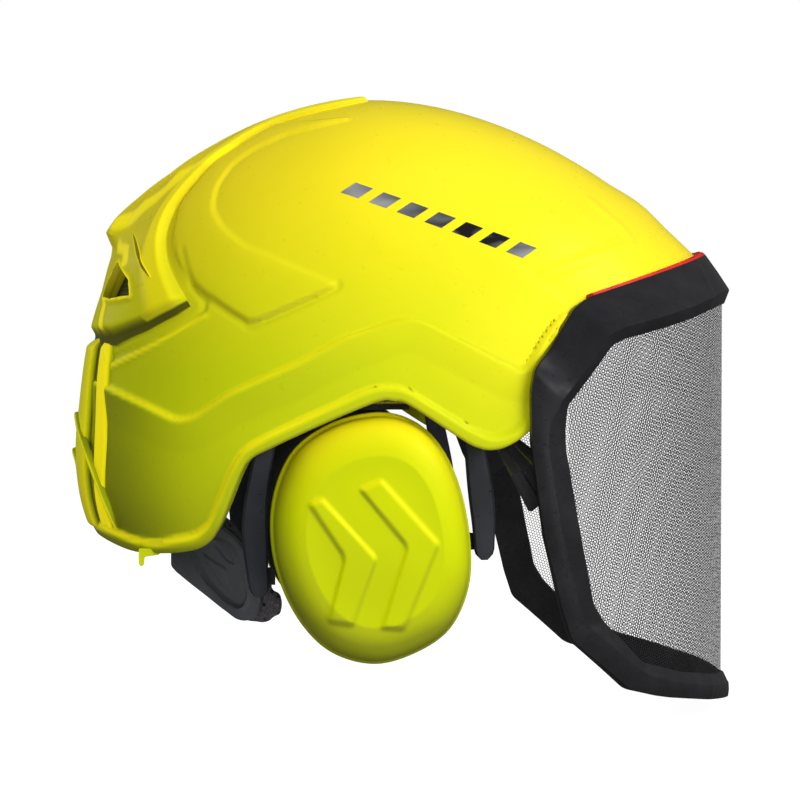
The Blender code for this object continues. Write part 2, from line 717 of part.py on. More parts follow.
def build_cup_lugs(side, sign, parent):
    """The two lugs of the cup that sit behind the yoke's ends, on the cup's tilt line."""
    for name, (x, z), reach in (("front", CUP_PIVOT_FRONT, -7.5), ("rear", CUP_PIVOT_REAR, 7.5)):
        outline = ((x + reach, z - 4), (x - reach * 0.4, z - 3), (x - reach * 0.4, z + 3),
                   (x + reach, z + 4))
        flat_plate(f"cup_lug_{name}_{side}", outline, sign * (YOKE_Y - YOKE_WALL / 2 - 1.0),
                   sign * (YOKE_Y - YOKE_WALL / 2 - 4.5), "black_satin", parent)


def build_ear_bracket(side, sign, parent):
    """The sprung carrier that swings the yoke out from the head, with its hinge barrel."""
    outline = ((-40, SWING_Z - 4), (-4, SWING_Z - 4), (-4, SWING_Z + 5), (-10, SWING_Z + 42),
               (-34, SWING_Z + 42), (-40, SWING_Z + 5))
    near, far = sign * (YOKE_Y + YOKE_WALL / 2 + FIT_GAP), sign * (SWING_Y - 1.5 - FIT_GAP)
    flat_plate(f"ear_bracket_{side}", outline, near, far, "black_satin", parent)


def build_swing_pin(side, sign):
    """The hinge pin of the ear carrier, fixed to the shell above the ear cut-out."""
    y = sign * SWING_Y
    rod(f"swing_pin_{side}", (-46, y, SWING_Z), (-2, y, SWING_Z), 1.5, "pin_steel")


def build_ear_defenders(slide_parents, cup_parents, swing_parents):
    """Both ear defenders, each on its own three joints."""
    for side, sign in SIDES.items():
        build_ear_bracket(side, sign, swing_parents[side])
        build_yoke(side, sign, slide_parents[side])
        build_cup_lugs(side, sign, cup_parents[side])
        build_cup(side, sign, cup_parents[side])
        build_swing_pin(side, sign)


# ---------------------------------------------------------------------- head fitting

def build_inner_liner():
    """The moulded foam liner inside the crown."""
    half = [(180.0 * k / 20, LINER_EDGE + 8 * math.cos(math.pi * k / 20) + 6) for k in range(21)]
    return dome_shell("inner_liner", half, 6, -SHELL_WALL - LINER_GAP, LINER_WALL, "foam_black")


def band_point(turn, offset, height):
    """A point on the headband's oval, turn in degrees from the forehead."""
    angle = math.radians(turn)
    reach = BAND_FRONT if math.cos(angle) > 0 else BAND_BACK
    return Vector((BAND_X + (reach + offset) * math.cos(angle),
                   (BAND_HALF_WIDTH + offset) * math.sin(angle), height))


def band_height(turn):
    """Height of the headband's middle: high on the forehead and lower past the temples."""
    return 47 - 33 * eased(abs(turn) / 105)


def build_headband():
    """The plastic headband over the forehead and temples, with its sweat pad inside."""
    turns = [-98 + 14 * k for k in range(15)]
    outer, inner = [], []
    pad_outer, pad_inner = [], []
    for level in (-0.5, 0.0, 0.5):
        heights = [band_height(turn) + BAND_HEIGHT * level for turn in turns]
        outer.append([band_point(t, BAND_WALL, z) for t, z in zip(turns, heights)])
        inner.append([band_point(t, 0, z) for t, z in zip(turns, heights)])
    thick_sheet("headband", outer, inner, "black_satin")
    for level in (-0.56, -0.3, 0.3, 0.56):
        bulge = 0.0 if abs(level) > 0.5 else 1.0
        short = [turn for turn in turns if abs(turn) < 70]
        pad_outer.append([band_point(t, -FIT_GAP, band_height(t) + BAND_HEIGHT * level) for t in short])
        pad_inner.append([band_point(t, -FIT_GAP - 2.5 - PAD_WALL * 0.5 * bulge,
                                     band_height(t) + BAND_HEIGHT * level) for t in short])
    thick_sheet("sweat_pad", pad_outer, pad_inner, "fabric_grey")


def strap_solid(name, azimuth, top, slot="webbing"):
    """One webbing strap over the crown from edge to edge of the liner, in one upright plane."""
    turn = math.radians(azimuth)
    along = Vector((math.cos(turn), math.sin(turn), 0))
    across = Vector((-math.sin(turn), math.cos(turn), 0)) * STRAP_WIDTH / 2
    centre = Vector((DOME_X + 8, 0, 0))
    rings = []
    for step in range(17):
        lean = math.radians(28 + 124 * step / 16)
        reach = Vector((88 * math.cos(lean), 0, 0)).x
        base = centre + along * reach + Vector((0, 0, 10 + (top - 10) * math.sin(lean) ** 0.9))
        out = (along * math.cos(lean) + Vector((0, 0, math.sin(lean)))) * STRAP_WALL
        rings.append([base - across, base + across, base + across + out, base - across + out])
    points, faces = bridge_rings(rings)
    new_solid(name, points, faces, slot)


def build_suspension():
    """The crossed crown straps, their four anchors and the crown pad under the crossing."""
    strap_solid("crown_strap_left_front", 42, STRAP_TOP)
    strap_solid("crown_strap_right_front", -42, STRAP_TOP + 2.4)
    for label, azimuth, top in (("front_left", 42, 0), ("front_right", -42, 2.4),
                                ("rear_right", 222, 0), ("rear_left", 138, 2.4)):
        turn = math.radians(azimuth)
        lean = math.radians(28)
        along = Vector((math.cos(turn), math.sin(turn), 0))
        across = Vector((-math.sin(turn), math.cos(turn), 0))
        foot = Vector((DOME_X + 8, 0, 0)) + along * (88 * math.cos(lean))
        foot.z = 10 + (STRAP_TOP + top - 10) * math.sin(lean) ** 0.9
        low, high = foot.z - 14, foot.z - FIT_GAP - 0.6
        corners = [(-11, -1.5), (11, -1.5), (11, 2.5), (-11, 2.5)]
        rings = [[Vector((foot.x, foot.y, z)) + across * a + along * b for a, b in corners]
                 for z in (low, high)]
        points, faces = bridge_rings(rings)
        new_solid(f"strap_anchor_{label}", points, faces, "black_satin", smooth=False)
    top = STRAP_TOP - 3.8
    rings = []
    for radius, z in ((CROWN_PAD_RADIUS - 2, top - CROWN_PAD_WALL), (CROWN_PAD_RADIUS, top - CROWN_PAD_WALL / 2),
                      (CROWN_PAD_RADIUS - 9, top)):
        rings.append([Vector((DOME_X + 8 + radius * math.cos(k * math.pi / 12),
                              radius * math.sin(k * math.pi / 12), z)) for k in range(24)])
    points, faces = bridge_rings(rings)
    new_solid("crown_pad", points, faces, "fabric_grey")


def nape_point(turn, offset, height):
    """A point on the nape cradle's oval, turn in degrees from the back."""
    angle = math.radians(turn)
    return Vector((NAPE_X - (NAPE_REACH + offset) * math.cos(angle),
                   (NAPE_HALF_WIDTH + offset) * math.sin(angle), height))


def nape_edges(turn):
    """Lower and upper height of the cradle at one turn round the neck."""
    low = curve_value([(t, a) for t, a, b in NAPE_EDGES], abs(turn))
    high = curve_value([(t, b) for t, a, b in NAPE_EDGES], abs(turn))
    return low, high


def build_nape(parent):
    """The moulded nape cradle, its two pads, the band that joins it to the headband and the
    knob's housing."""
    turns = [70 * math.sin(math.pi / 2 * k / 9) for k in range(-9, 10)]
    outer, inner = [], []
    for step in range(4):
        share = step / 3
        heights = [nape_edges(t)[0] + (nape_edges(t)[1] - nape_edges(t)[0]) * share for t in turns]
        outer.append([nape_point(t, NAPE_WALL, z) for t, z in zip(turns, heights)])
        inner.append([nape_point(t, 0, z) for t, z in zip(turns, heights)])
    thick_sheet("nape_cradle", outer, inner, "black_satin", parent)
    for side, sign in SIDES.items():
        pad_outer, pad_inner = [], []
        for level in (0.0, 0.2, 0.8, 1.0):
            bulge = 0.45 if level in (0.0, 1.0) else 1.0
            row_out, row_in = [], []
            for turn in (8, 22, 36, 48, 58, 66, 72):
                low, high = nape_edges(turn)
                height = low - 1.5 + (high - low) * level
                row_out.append(nape_point(sign * turn, -1.2, height))
                row_in.append(nape_point(sign * turn, -1.2 - 8 * bulge, height))
            pad_outer.append(row_out)
            pad_inner.append(row_in)
        thick_sheet(f"nape_pad_{side}", pad_outer, pad_inner, "fabric_grey", parent)
    build_nape_band(parent)


def build_nape_band(parent):
    """The band from the cradle's top round to the temples, and the housing on its back."""
    turns = [-100 + 12.5 * k for k in range(17)]
    outer, inner = [], []
    for level in (0.0, 0.5, 1.0):
        row_out, row_in = [], []
        for turn in turns:
            swept = eased(abs(turn) / 72)
            height = -44 + 48 * swept + (14 - 3 * swept) * level
            angle = math.radians(turn)
            for row, offset in ((row_out, 2.2), (row_in, 0.0)):
                row.append(Vector((-40 - (66 + offset) * math.cos(angle),
                                   (68 + offset) * math.sin(angle), height)))
        outer.append(row_out)
        inner.append(row_in)
    thick_sheet("nape_band", outer, inner, "black_satin", parent)
    back = KNOB_BACK
    outline = [(back, KNOB_Z - 22), (back, KNOB_Z + 8), (back - 6, KNOB_Z + 6), (back - 6, KNOB_Z - 19)]
    flat_plate("knob_housing", outline, -22, 22, "black_satin", parent)


def build_fit_knob(parent):
    """The knurled fit knob on the back of its housing."""
    start = KNOB_BACK - 6 - FIT_GAP
    rings = []
    for radius, x in ((KNOB_RADIUS - 1, start), (KNOB_RADIUS, start - 2), (KNOB_RADIUS, start - KNOB_DEPTH + 2),
                      (KNOB_RADIUS - 2, start - KNOB_DEPTH)):
        ring = []
        for k in range(36):
            turn = 2 * math.pi * k / 36
            rib = radius - (0.8 if k % 2 else 0.0)
            ring.append(Vector((x, rib * math.cos(turn), KNOB_Z - 2.5 + rib * math.sin(turn))))
        rings.append(ring)
    points, faces = bridge_rings(rings)
    new_solid("fit_knob", points, faces, "black_gloss", parent)


# ---------------------------------------------------------------------- the whole helmet

def main():
    """Builds the shell, then each moving group on its joint's empty."""
    clear_scene()
    cut_rear_vents([build_outer_shell(), build_rear_fairing()])
    build_tail_spine()
    build_lamp_clips()
    build_strap_hooks()
    build_vent_grilles()
    build_inner_liner()
    build_headband()
    build_suspension()
    build_visor_pins()
    build_visor_catches()
    px, pz = VISOR_PIVOT
    visor = joint_empty("visor_axis", (px, 0, pz))
    build_visor_frame(visor)
    build_visor_mesh(visor)
    build_lip_seal(visor)
    build_visor_arms(visor)
    swings, slides, cups = {}, {}, {}
    for side, sign in SIDES.items():
        swings[side] = joint_empty(f"ear_swing_axis_{side}", (-22, sign * SWING_Y, SWING_Z))
        slides[side] = joint_empty(f"ear_slide_axis_{side}", (-22, sign * YOKE_Y, 30), swings[side])
        x, z = CUP_PIVOT_FRONT
        cups[side] = joint_empty(f"cup_tilt_axis_{side}", (x, sign * YOKE_Y, z), slides[side])
    build_ear_defenders(slides, cups, swings)
    nape = joint_empty("nape_slide_axis", (-106, 0, -60))
    build_nape(nape)
    build_fit_knob(joint_empty("knob_axis", (-115, 0, KNOB_Z), nape))


main()
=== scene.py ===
"""Finished look of a forestry climbing helmet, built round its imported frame.

The helmet faces +X, +Y is the wearer's left and +Z is up. Sizes in this file are millimetres,
and turn into metres where a mesh is made. Azimuths run from the front (0) to the back (180).
"""

import logging
import math
from dataclasses import dataclass
from enum import Enum
from typing import Iterable, Optional, Sequence

import bmesh
import bpy
import numpy as np
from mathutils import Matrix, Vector


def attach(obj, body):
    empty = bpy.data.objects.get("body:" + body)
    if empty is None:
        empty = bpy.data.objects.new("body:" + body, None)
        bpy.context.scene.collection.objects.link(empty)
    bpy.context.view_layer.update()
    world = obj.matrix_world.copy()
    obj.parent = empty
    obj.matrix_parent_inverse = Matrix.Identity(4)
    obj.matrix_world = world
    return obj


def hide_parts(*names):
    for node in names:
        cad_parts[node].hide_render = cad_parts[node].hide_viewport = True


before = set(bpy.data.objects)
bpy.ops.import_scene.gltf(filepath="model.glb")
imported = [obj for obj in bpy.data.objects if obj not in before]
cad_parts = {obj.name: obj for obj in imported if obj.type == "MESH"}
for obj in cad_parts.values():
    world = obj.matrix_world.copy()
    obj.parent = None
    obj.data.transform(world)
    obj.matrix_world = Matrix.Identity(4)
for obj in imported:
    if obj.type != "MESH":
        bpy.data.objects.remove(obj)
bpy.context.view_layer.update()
MM = 0.001
LOG = logging.getLogger("helmet")

Points = np.ndarray
Knots = Sequence[tuple[float, ...]]


class Side(Enum):
    """The two sides of the helmet, with the sign of their Y."""

    RIGHT = -1.0
    LEFT = 1.0

    @property
    def tag(self) -> str:
        """The letter that ends the names of this side's pieces."""
        return "R" if self is Side.RIGHT else "L"


class Slot(Enum):
    """The record's material slots."""

    SHELL = "shell_yellow"
    GLOSS = "black_gloss"
    SATIN = "black_satin"
    FOAM = "foam_black"
    MESH = "mesh_black"
    SEAL = "seal_red"
    WEBBING = "webbing"
    FABRIC = "fabric_grey"
    STEEL = "pin_steel"
    VINYL = "cushion_vinyl"


# ---------------------------------------------------------------------- curves and surfaces

def eased(share: Points | float) -> Points:
    """A smooth step from 0 to 1."""
    share = np.clip(share, 0.0, 1.0)
    return share * share * (3 - 2 * share)


def curve_value(knots: Knots, x: Points | float) -> Points:
    """The height at x of a smooth curve through knots.

    Args:
        knots: (x, height) pairs in rising order of x.
        x: where to read the curve.

    Returns:
        The heights, level beyond both ends.
    """
    xs, ys = (np.array([knot[k] for knot in knots], float) for k in (0, 1))
    slopes = np.gradient(ys, xs)
    x = np.asarray(x, float)
    index = np.clip(np.searchsorted(xs, x) - 1, 0, len(xs) - 2)
    span = xs[index + 1] - xs[index]
    t = np.clip((x - xs[index]) / span, 0, 1)
    return ((2 * t**3 - 3 * t**2 + 1) * ys[index] + (t**3 - 2 * t**2 + t) * span * slopes[index]
            + (3 * t**2 - 2 * t**3) * ys[index + 1] + (t**3 - t**2) * span * slopes[index + 1])


def broken_line(knots: Knots, x: Points | float) -> Points:
    """The height at x on straight lines between knots."""
    return np.interp(x, [knot[0] for knot in knots], [knot[1] for knot in knots])


def resample(points: Points, count: int, closed: bool = False) -> Points:
    """Points at even steps of length along straight lines between the given ones.

    Args:
        points: the line's corners.
        count: how many points to return.
        closed: whether the line returns to its first point.

    Returns:
        The new points, without a repeat of the first one on a closed line.
    """
    points = np.asarray(points, float)
    if closed:
        points = np.vstack([points, points[:1]])
    lengths = np.concatenate([[0], np.cumsum(np.linalg.norm(np.diff(points, axis=0), axis=1))])
    wanted = np.linspace(0, lengths[-1], count, endpoint=not closed)
    return np.stack([np.interp(wanted, lengths, points[:, k]) for k in range(points.shape[1])], 1)


def matched(knots: Knots, radius: float, straight: int = 9, bend: int = 6) -> Points:
    """An open line with straight runs whose corners are rounded.

    Lines with as many knots get as many points, so they can be lofted corner to corner.

    Args:
        knots: the line's corners, in order.
        radius: how far from a corner the rounding starts.
        straight: points along each straight run.
        bend: points round each corner.

    Returns:
        Points along the line.
    """
    knots = np.asarray(knots, float)
    starts, ends = [knots[0]], []
    bends = []
    for before, here, after in zip(knots[:-2], knots[1:-1], knots[2:]):
        cuts = []
        for leg in (before - here, after - here):
            length = max(float(np.linalg.norm(leg)), 1e-9)
            cuts.append(here + leg / length * min(radius, length * 0.4))
        t = np.linspace(0, 1, bend + 2)[1:-1, None]
        bends.append((1 - t) ** 2 * cuts[0] + 2 * t * (1 - t) * here + t**2 * cuts[1])
        ends.append(cuts[0])
        starts.append(cuts[1])
    ends.append(knots[-1])
    share = np.linspace(0, 1, straight)[:, None]
    pieces = []
    for index, (start, end) in enumerate(zip(starts, ends)):
        pieces.append(start + (end - start) * share)
        if index < len(bends):
            pieces.append(bends[index])
    return np.vstack(pieces)


def spline(knots: Knots, count: int, closed: bool = False) -> Points:
    """Points at even steps of length on a smooth curve through the knots."""
    knots = np.asarray(knots, float)
    total = len(knots)
    t = np.linspace(0, 1, 16, endpoint=False)[:, None]
    fine = []
    for index in range(total if closed else total - 1):
        if closed:
            a, b, c, d = (knots[(index + k) % total] for k in (-1, 0, 1, 2))
        else:
            a, b = knots[max(index - 1, 0)], knots[index]
            c, d = knots[index + 1], knots[min(index + 2, total - 1)]
        fine.append(0.5 * (2 * b + (c - a) * t + (2 * a - 5 * b + 4 * c - d) * t**2
                           + (3 * b - a - 3 * c + d) * t**3))
    if not closed:
        fine.append(knots[-1:])
    return resample(np.vstack(fine), count, closed)


def rounded_corners(corners: Knots, radius: float, count: int) -> Points:
    """A closed outline with straight sides whose corners are rounded.

    Args:
        corners: the outline's corners, in order.
        radius: how far from a corner the rounding starts.
        count: how many points to return.

    Returns:
        Points at even steps along the outline.
    """
    corners = np.asarray(corners, float)
    points = []
    for before, here, after in zip(np.roll(corners, 1, 0), corners, np.roll(corners, -1, 0)):
        legs = [before - here, after - here]
        cuts = []
        for leg in legs:
            length = np.linalg.norm(leg)
            cuts.append(here + leg / length * min(radius, length * 0.45))
        for t in np.linspace(0, 1, 7):
            points.append((1 - t) ** 2 * cuts[0] + 2 * t * (1 - t) * here + t**2 * cuts[1])
    return resample(np.array(points), count, closed=True)


def line_distance(points: Points, line: Points) -> tuple[Points, Points]:
    """How far each point is from a line of straight pieces.

    Args:
        points: the points, one row each.
        line: the line's corners, in as many dimensions.

    Returns:
        The distances, and each point's nearest place on the line.
    """
    best = np.full(len(points), np.inf)
    nearest = np.zeros_like(points)
    for start, end in zip(line[:-1], line[1:]):
        along = end - start
        length = max(float(along @ along), 1e-12)
        t = np.clip((points - start) @ along / length, 0, 1)
        place = start + t[:, None] * along
        gap = np.linalg.norm(points - place, axis=1)
        closer = gap < best
        best[closer] = gap[closer]
        nearest[closer] = place[closer]
    return best, nearest


def is_inside(points: Points, outline: Points) -> Points:
    """Which of the flat points lie inside a closed outline."""
    inside = np.zeros(len(points), bool)
    x, y = points[:, 0], points[:, 1]
    for (x0, y0), (x1, y1) in zip(outline, np.roll(outline, -1, 0)):
        if y0 == y1:
            continue
        crosses = (y0 > y) != (y1 > y)
        inside ^= crosses & (x < (x1 - x0) * (y - y0) / (y1 - y0) + x0)
    return inside


# ---------------------------------------------------------------------- making pieces

def mirrored(points: Points) -> Points:
    """The same points on the helmet's other side."""
    return np.asarray(points) * np.array([1.0, -1.0, 1.0])


def grid_faces(rows: int, columns: int, wrap: bool = False) -> list[tuple[int, ...]]:
    """Four-sided faces over a grid of points, closed on itself along its rows if wrap is set."""
    faces = []
    for i in range(rows - 1):
        for j in range(columns if wrap else columns - 1):
            n = (j + 1) % columns
            faces.append((i * columns + j, i * columns + n, (i + 1) * columns + n,
                          (i + 1) * columns + j))
    return faces


def loft(rings: Points, closed_path: bool = False, caps: bool = True) -> tuple[Points, list]:
    """A skin over closed rings.

    Args:
        rings: an array of rings, each of the same number of points.
        closed_path: whether the last ring joins the first.
        caps: whether the two ends are closed.

    Returns:
        Points and faces.
    """
    rings = np.asarray(rings, float)
    count, size = rings.shape[:2]
    faces = grid_faces(count, size, wrap=True)
    if closed_path:
        last = (count - 1) * size
        faces += [(last + k, last + (k + 1) % size, (k + 1) % size, k) for k in range(size)]
    elif caps:
        faces.append(tuple(range(size)))
        faces.append(tuple(range(count * size - 1, (count - 1) * size - 1, -1)))
    return rings.reshape(-1, 3), faces


def slab(outer: Points, inner: Points) -> tuple[Points, list]:
    """A closed solid between two grids of points.

    Args:
        outer: rows of points on one face.
        inner: the matching rows on the other face.

    Returns:
        Points and faces, with the edges closed.
    """
    rows, columns = outer.shape[:2]
    shift = rows * columns
    faces = grid_faces(rows, columns)
    faces += [tuple(index + shift for index in reversed(face)) for face in faces]
    loop = list(range(columns)) + [i * columns + columns - 1 for i in range(1, rows)]
    loop += [(rows - 1) * columns + j for j in range(columns - 2, -1, -1)]
    loop += [i * columns for i in range(rows - 2, 0, -1)]
    for here, there in zip(loop, loop[1:] + loop[:1]):
        faces.append((here, there, there + shift, here + shift))
    return np.vstack([outer.reshape(-1, 3), inner.reshape(-1, 3)]), faces


def make_piece(name: str, shape: tuple[Points, list], finish: "Finish", body: str,
               replaces: Iterable[str] = (), sharp: float = 38.0,
               painted_light: Optional[Points] = None) -> bpy.types.Object:
    """One finished piece that rides on a body.

    Args:
        name: the piece's name.
        shape: its points in millimetres, and its faces.
        finish: what it is made of.
        body: the body that it moves with.
        replaces: the frame's nodes that it stands for.
        sharp: edges that turn more than this many degrees stay sharp.
        painted_light: painted highlight (1) or painted shade (-1) on the first points, along
        thin edges and in hollows.

    Returns:
        The new object.
    """
    points, faces = shape
    mesh = bpy.data.meshes.new(name)
    mesh.from_pydata((np.asarray(points) * MM).tolist(), [], faces)
    work = bmesh.new()
    work.from_mesh(mesh)
    bmesh.ops.recalc_face_normals(work, faces=work.faces)
    work.to_mesh(mesh)
    work.free()
    if painted_light is not None:
        values = np.zeros(len(mesh.vertices), np.float32)
        values[:np.size(painted_light)] = np.ravel(painted_light)
        mesh.attributes.new("painted_light", "FLOAT", "POINT").data.foreach_set("value", values)
    mesh.shade_smooth()
    mesh.set_sharp_from_angle(angle=math.radians(sharp))
    mesh.materials.append(finish.material())
    piece = bpy.data.objects.new(name, mesh)
    bpy.context.scene.collection.objects.link(piece)
    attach(piece, body)
    if replaces:
        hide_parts(*replaces)
    LOG.info("%s: %d faces on %s", name, len(faces), body)
    return piece


def apply_modifiers(piece: bpy.types.Object) -> None:
    """Turns a piece's modifiers into its mesh."""
    graph = bpy.context.evaluated_depsgraph_get()
    graph.update()
    done = bpy.data.meshes.new_from_object(piece.evaluated_get(graph))
    piece.modifiers.clear()
    old = piece.data
    piece.data = done
    bpy.data.meshes.remove(old)


# ---------------------------------------------------------------------- finishes

class NodeSheet:
    """A material's node tree, with short ways to add to it."""

    def __init__(self, name: str) -> None:
        """Starts a material with its Principled shader."""
        self.material = bpy.data.materials.new(name)
        self.material.use_nodes = True
        self.tree = self.material.node_tree
        self.shader = self.tree.nodes["Principled BSDF"]
        self.place = self.add("ShaderNodeTexCoord")

    def add(self, kind: str, **settings: object) -> bpy.types.Node:
        """Adds a node and sets its properties."""
        node = self.tree.nodes.new(kind)
        for key, value in settings.items():
            setattr(node, key, value)
        return node

    def join(self, source: bpy.types.NodeSocket, target: bpy.types.NodeSocket) -> None:
        """Links two sockets."""
        self.tree.links.new(source, target)

    def fill(self, node: bpy.types.Node, index: int, value: object) -> None:
        """Sets an input to a number or colour, or links it."""
        if isinstance(value, bpy.types.NodeSocket):
            self.join(value, node.inputs[index])
        elif value is not None:
            node.inputs[index].default_value = value

    def math(self, operation: str, first: object, second: object = None,
             third: object = None) -> bpy.types.NodeSocket:
        """A math node's result."""
        node = self.add("ShaderNodeMath", operation=operation)
        for index, value in enumerate((first, second, third)):
            self.fill(node, index, value)
        return node.outputs[0]

    def blend(self, share: object, low: object, high: object) -> bpy.types.NodeSocket:
        """A colour between two colours."""
        node = self.add("ShaderNodeMix", data_type="RGBA")
        self.fill(node, 0, share)
        self.fill(node, 6, low)
        self.fill(node, 7, high)
        return node.outputs[2]

    def spread(self, value: object, low: float, high: float, to_low: float,
               to_high: float) -> bpy.types.NodeSocket:
        """A value moved from one range to another, held at its ends."""
        node = self.add("ShaderNodeMapRange")
        for index, number in enumerate((value, low, high, to_low, to_high)):
            self.fill(node, index, number)
        return node.outputs[0]

    def noise(self, scale: float, detail: float = 3.0, stretch: tuple = (1, 1, 1),
              rough: float = 0.5) -> bpy.types.NodeSocket:
        """Cloudy noise at a number of waves a metre, stretched along the axes."""
        mapping = self.add("ShaderNodeMapping")
        mapping.inputs["Scale"].default_value = stretch
        self.join(self.place.outputs["Object"], mapping.inputs[0])
        node = self.add("ShaderNodeTexNoise")
        node.inputs["Scale"].default_value = scale
        node.inputs["Detail"].default_value = detail
        node.inputs["Roughness"].default_value = rough
        self.join(mapping.outputs[0], node.inputs["Vector"])
        return node.outputs["Fac"]

    def cells(self, scale: float, feature: str = "F1") -> bpy.types.NodeSocket:
        """Distance in a field of scattered cells."""
        node = self.add("ShaderNodeTexVoronoi", feature=feature)
        node.inputs["Scale"].default_value = scale
        self.join(self.place.outputs["Object"], node.inputs["Vector"])
        return node.outputs["Distance"]

    def upward(self) -> bpy.types.NodeSocket:
        """How far the surface looks up: -1 down, 1 up."""
        node = self.add("ShaderNodeSeparateXYZ")
        self.join(self.place.outputs["Normal"], node.inputs[0])
        return node.outputs[2]

    def bump(self, height: bpy.types.NodeSocket, depth: float, strength: float = 1.0) -> None:
        """Gives the surface a relief of this depth in metres."""
        node = self.add("ShaderNodeBump")
        node.inputs["Strength"].default_value = strength
        node.inputs["Distance"].default_value = depth
        self.join(height, node.inputs["Height"])
        self.join(node.outputs[0], self.shader.inputs["Normal"])

    def set(self, **values: object) -> None:
        """Sets the shader's own sockets. An underscore in a name stands for a space."""
        for key, value in values.items():
            label = key.replace("_", " ").title().replace("Ior", "IOR")
            self.shader.inputs[label].default_value = value


@dataclass(frozen=True)
class Finish:
    """What a piece is made of. Each kind of finish paints its own nodes."""

    name: str
    slot: Slot

    def material(self) -> bpy.types.Material:
        """The finish's material, made once."""
        found = bpy.data.materials.get(self.name)
        if found:
            return found
        sheet = NodeSheet(self.name)
        self.paint(sheet)
        return sheet.material

    def paint(self, sheet: NodeSheet) -> None:
        """Adds the nodes. Each kind of finish has its own."""
        raise NotImplementedError


@dataclass(frozen=True)
class SignalPlastic(Finish):
    """Fluorescent plastic with painted light: lit and warmer toward the top and front, darker and
    greener where it faces down, with painted highlights and shade from the mesh.
    """

    by_height: bool = True
    # up, side and down are painted light and shade: a lit, warm colour for faces that look up and a
    # darker, greener shade for faces that look down.
    up: tuple = (0.98, 0.80, 0.015, 1)
    side: tuple = (0.60, 0.68, 0.006, 1)
    down: tuple = (0.30, 0.33, 0.014, 1)
    clouded: tuple = (0.50, 0.55, 0.003, 1)
    # lit and hollow are the painted highlight and painted shade colours; the emission colour and
    # strength make the painted highlights shine a little.
    lit: tuple = (0.99, 0.85, 0.008, 1)
    hollow: tuple = (0.10, 0.105, 0.010, 1)
    highlight_emitted: tuple = (0.95, 0.80, 0.006, 1)
    highlight_emission: float = 0.30
    roughness: float = 0.30
    coat: float = 0.0

    def painted_lit_share(self, sheet: NodeSheet, up: bpy.types.NodeSocket) -> bpy.types.NodeSocket:
        """How much of the painted lit, warm colour a point takes, from 0 to 1: by height and
        forward place, by upward slope where by_height is off.
        """
        if not self.by_height:
            return sheet.spread(up, 0.05, 0.80, 0, 1)
        parts = sheet.add("ShaderNodeSeparateXYZ")
        sheet.join(sheet.place.outputs["Object"], parts.inputs[0])
        high = sheet.spread(parts.outputs[2], 0.015, 0.105, 0, 1)
        ahead = sheet.spread(parts.outputs[0], -0.03, 0.10, 0, 1.0)
        return sheet.math("MAXIMUM", high, sheet.math("MULTIPLY", ahead, sheet.spread(
            parts.outputs[2], -0.01, 0.04, 0.2, 1)))

    def paint(self, sheet: NodeSheet) -> None:
        """Painted light and shade by slope and height, painted highlights and painted shade from
        the mesh's values with a little emission on the highlights, faint clouding and a slight
        orange peel.
        """
        # Painted shade darkens the faces that look down; painted light warms and lightens the top
        # and front.
        up = sheet.upward()
        lower = sheet.blend(sheet.spread(up, -0.5, 0.05, 0, 1), self.down, self.side)
        hue = sheet.blend(sheet.spread(self.painted_lit_share(sheet, up), 0, 1, 0, 1), lower, self.up)
        cloud = sheet.spread(sheet.noise(28, 2), 0.35, 0.65, 0.0, 0.05)
        hue = sheet.blend(cloud, hue, self.clouded)
        # Painted highlight and painted shade from the mesh's painted-light values.
        painted_light = sheet.add("ShaderNodeAttribute", attribute_name="painted_light").outputs["Fac"]
        painted_highlight_share = sheet.spread(painted_light, 0.0, 1.0, 0, 1)
        hue = sheet.blend(painted_highlight_share, hue, self.lit)
        hue = sheet.blend(sheet.spread(painted_light, 0.0, -1.0, 0, 1), hue, self.hollow)
        sheet.join(hue, sheet.shader.inputs["Base Color"])
        # The painted highlights shine a little by emission.
        sheet.set(emission_color=self.highlight_emitted)
        sheet.join(sheet.math("MULTIPLY", painted_highlight_share, self.highlight_emission),
                   sheet.shader.inputs["Emission Strength"])
        sheet.join(sheet.spread(sheet.noise(300, 4), 0.3, 0.75, self.roughness - 0.03,
                                self.roughness + 0.05), sheet.shader.inputs["Roughness"])
        sheet.set(coat_weight=self.coat, coat_roughness=0.10, specular_ior_level=0.5,
                  specular_tint=(1.0, 0.90, 0.12, 1))
        sheet.bump(sheet.noise(900, 2), 0.000012, 0.4)


@dataclass(frozen=True)
class DarkPlastic(Finish):
    """Moulded dark plastic with a fine eroded grain."""

    colour: tuple = (0.016, 0.016, 0.018, 1)
    worn: tuple = (0.026, 0.026, 0.029, 1)
    roughness: float = 0.32
    grain: float = 0.00004

    def paint(self, sheet: NodeSheet) -> None:
        """Clouded colour, uneven roughness and a fine grain."""
        cloud = sheet.noise(60, 4)
        sheet.join(sheet.blend(sheet.spread(cloud, 0.4, 0.8, 0, 1), self.colour, self.worn),
                   sheet.shader.inputs["Base Color"])
        sheet.join(sheet.spread(sheet.noise(350, 3), 0.3, 0.7, self.roughness - 0.05,
                                self.roughness + 0.08), sheet.shader.inputs["Roughness"])
        sheet.bump(sheet.noise(2600, 3), self.grain, 0.6)


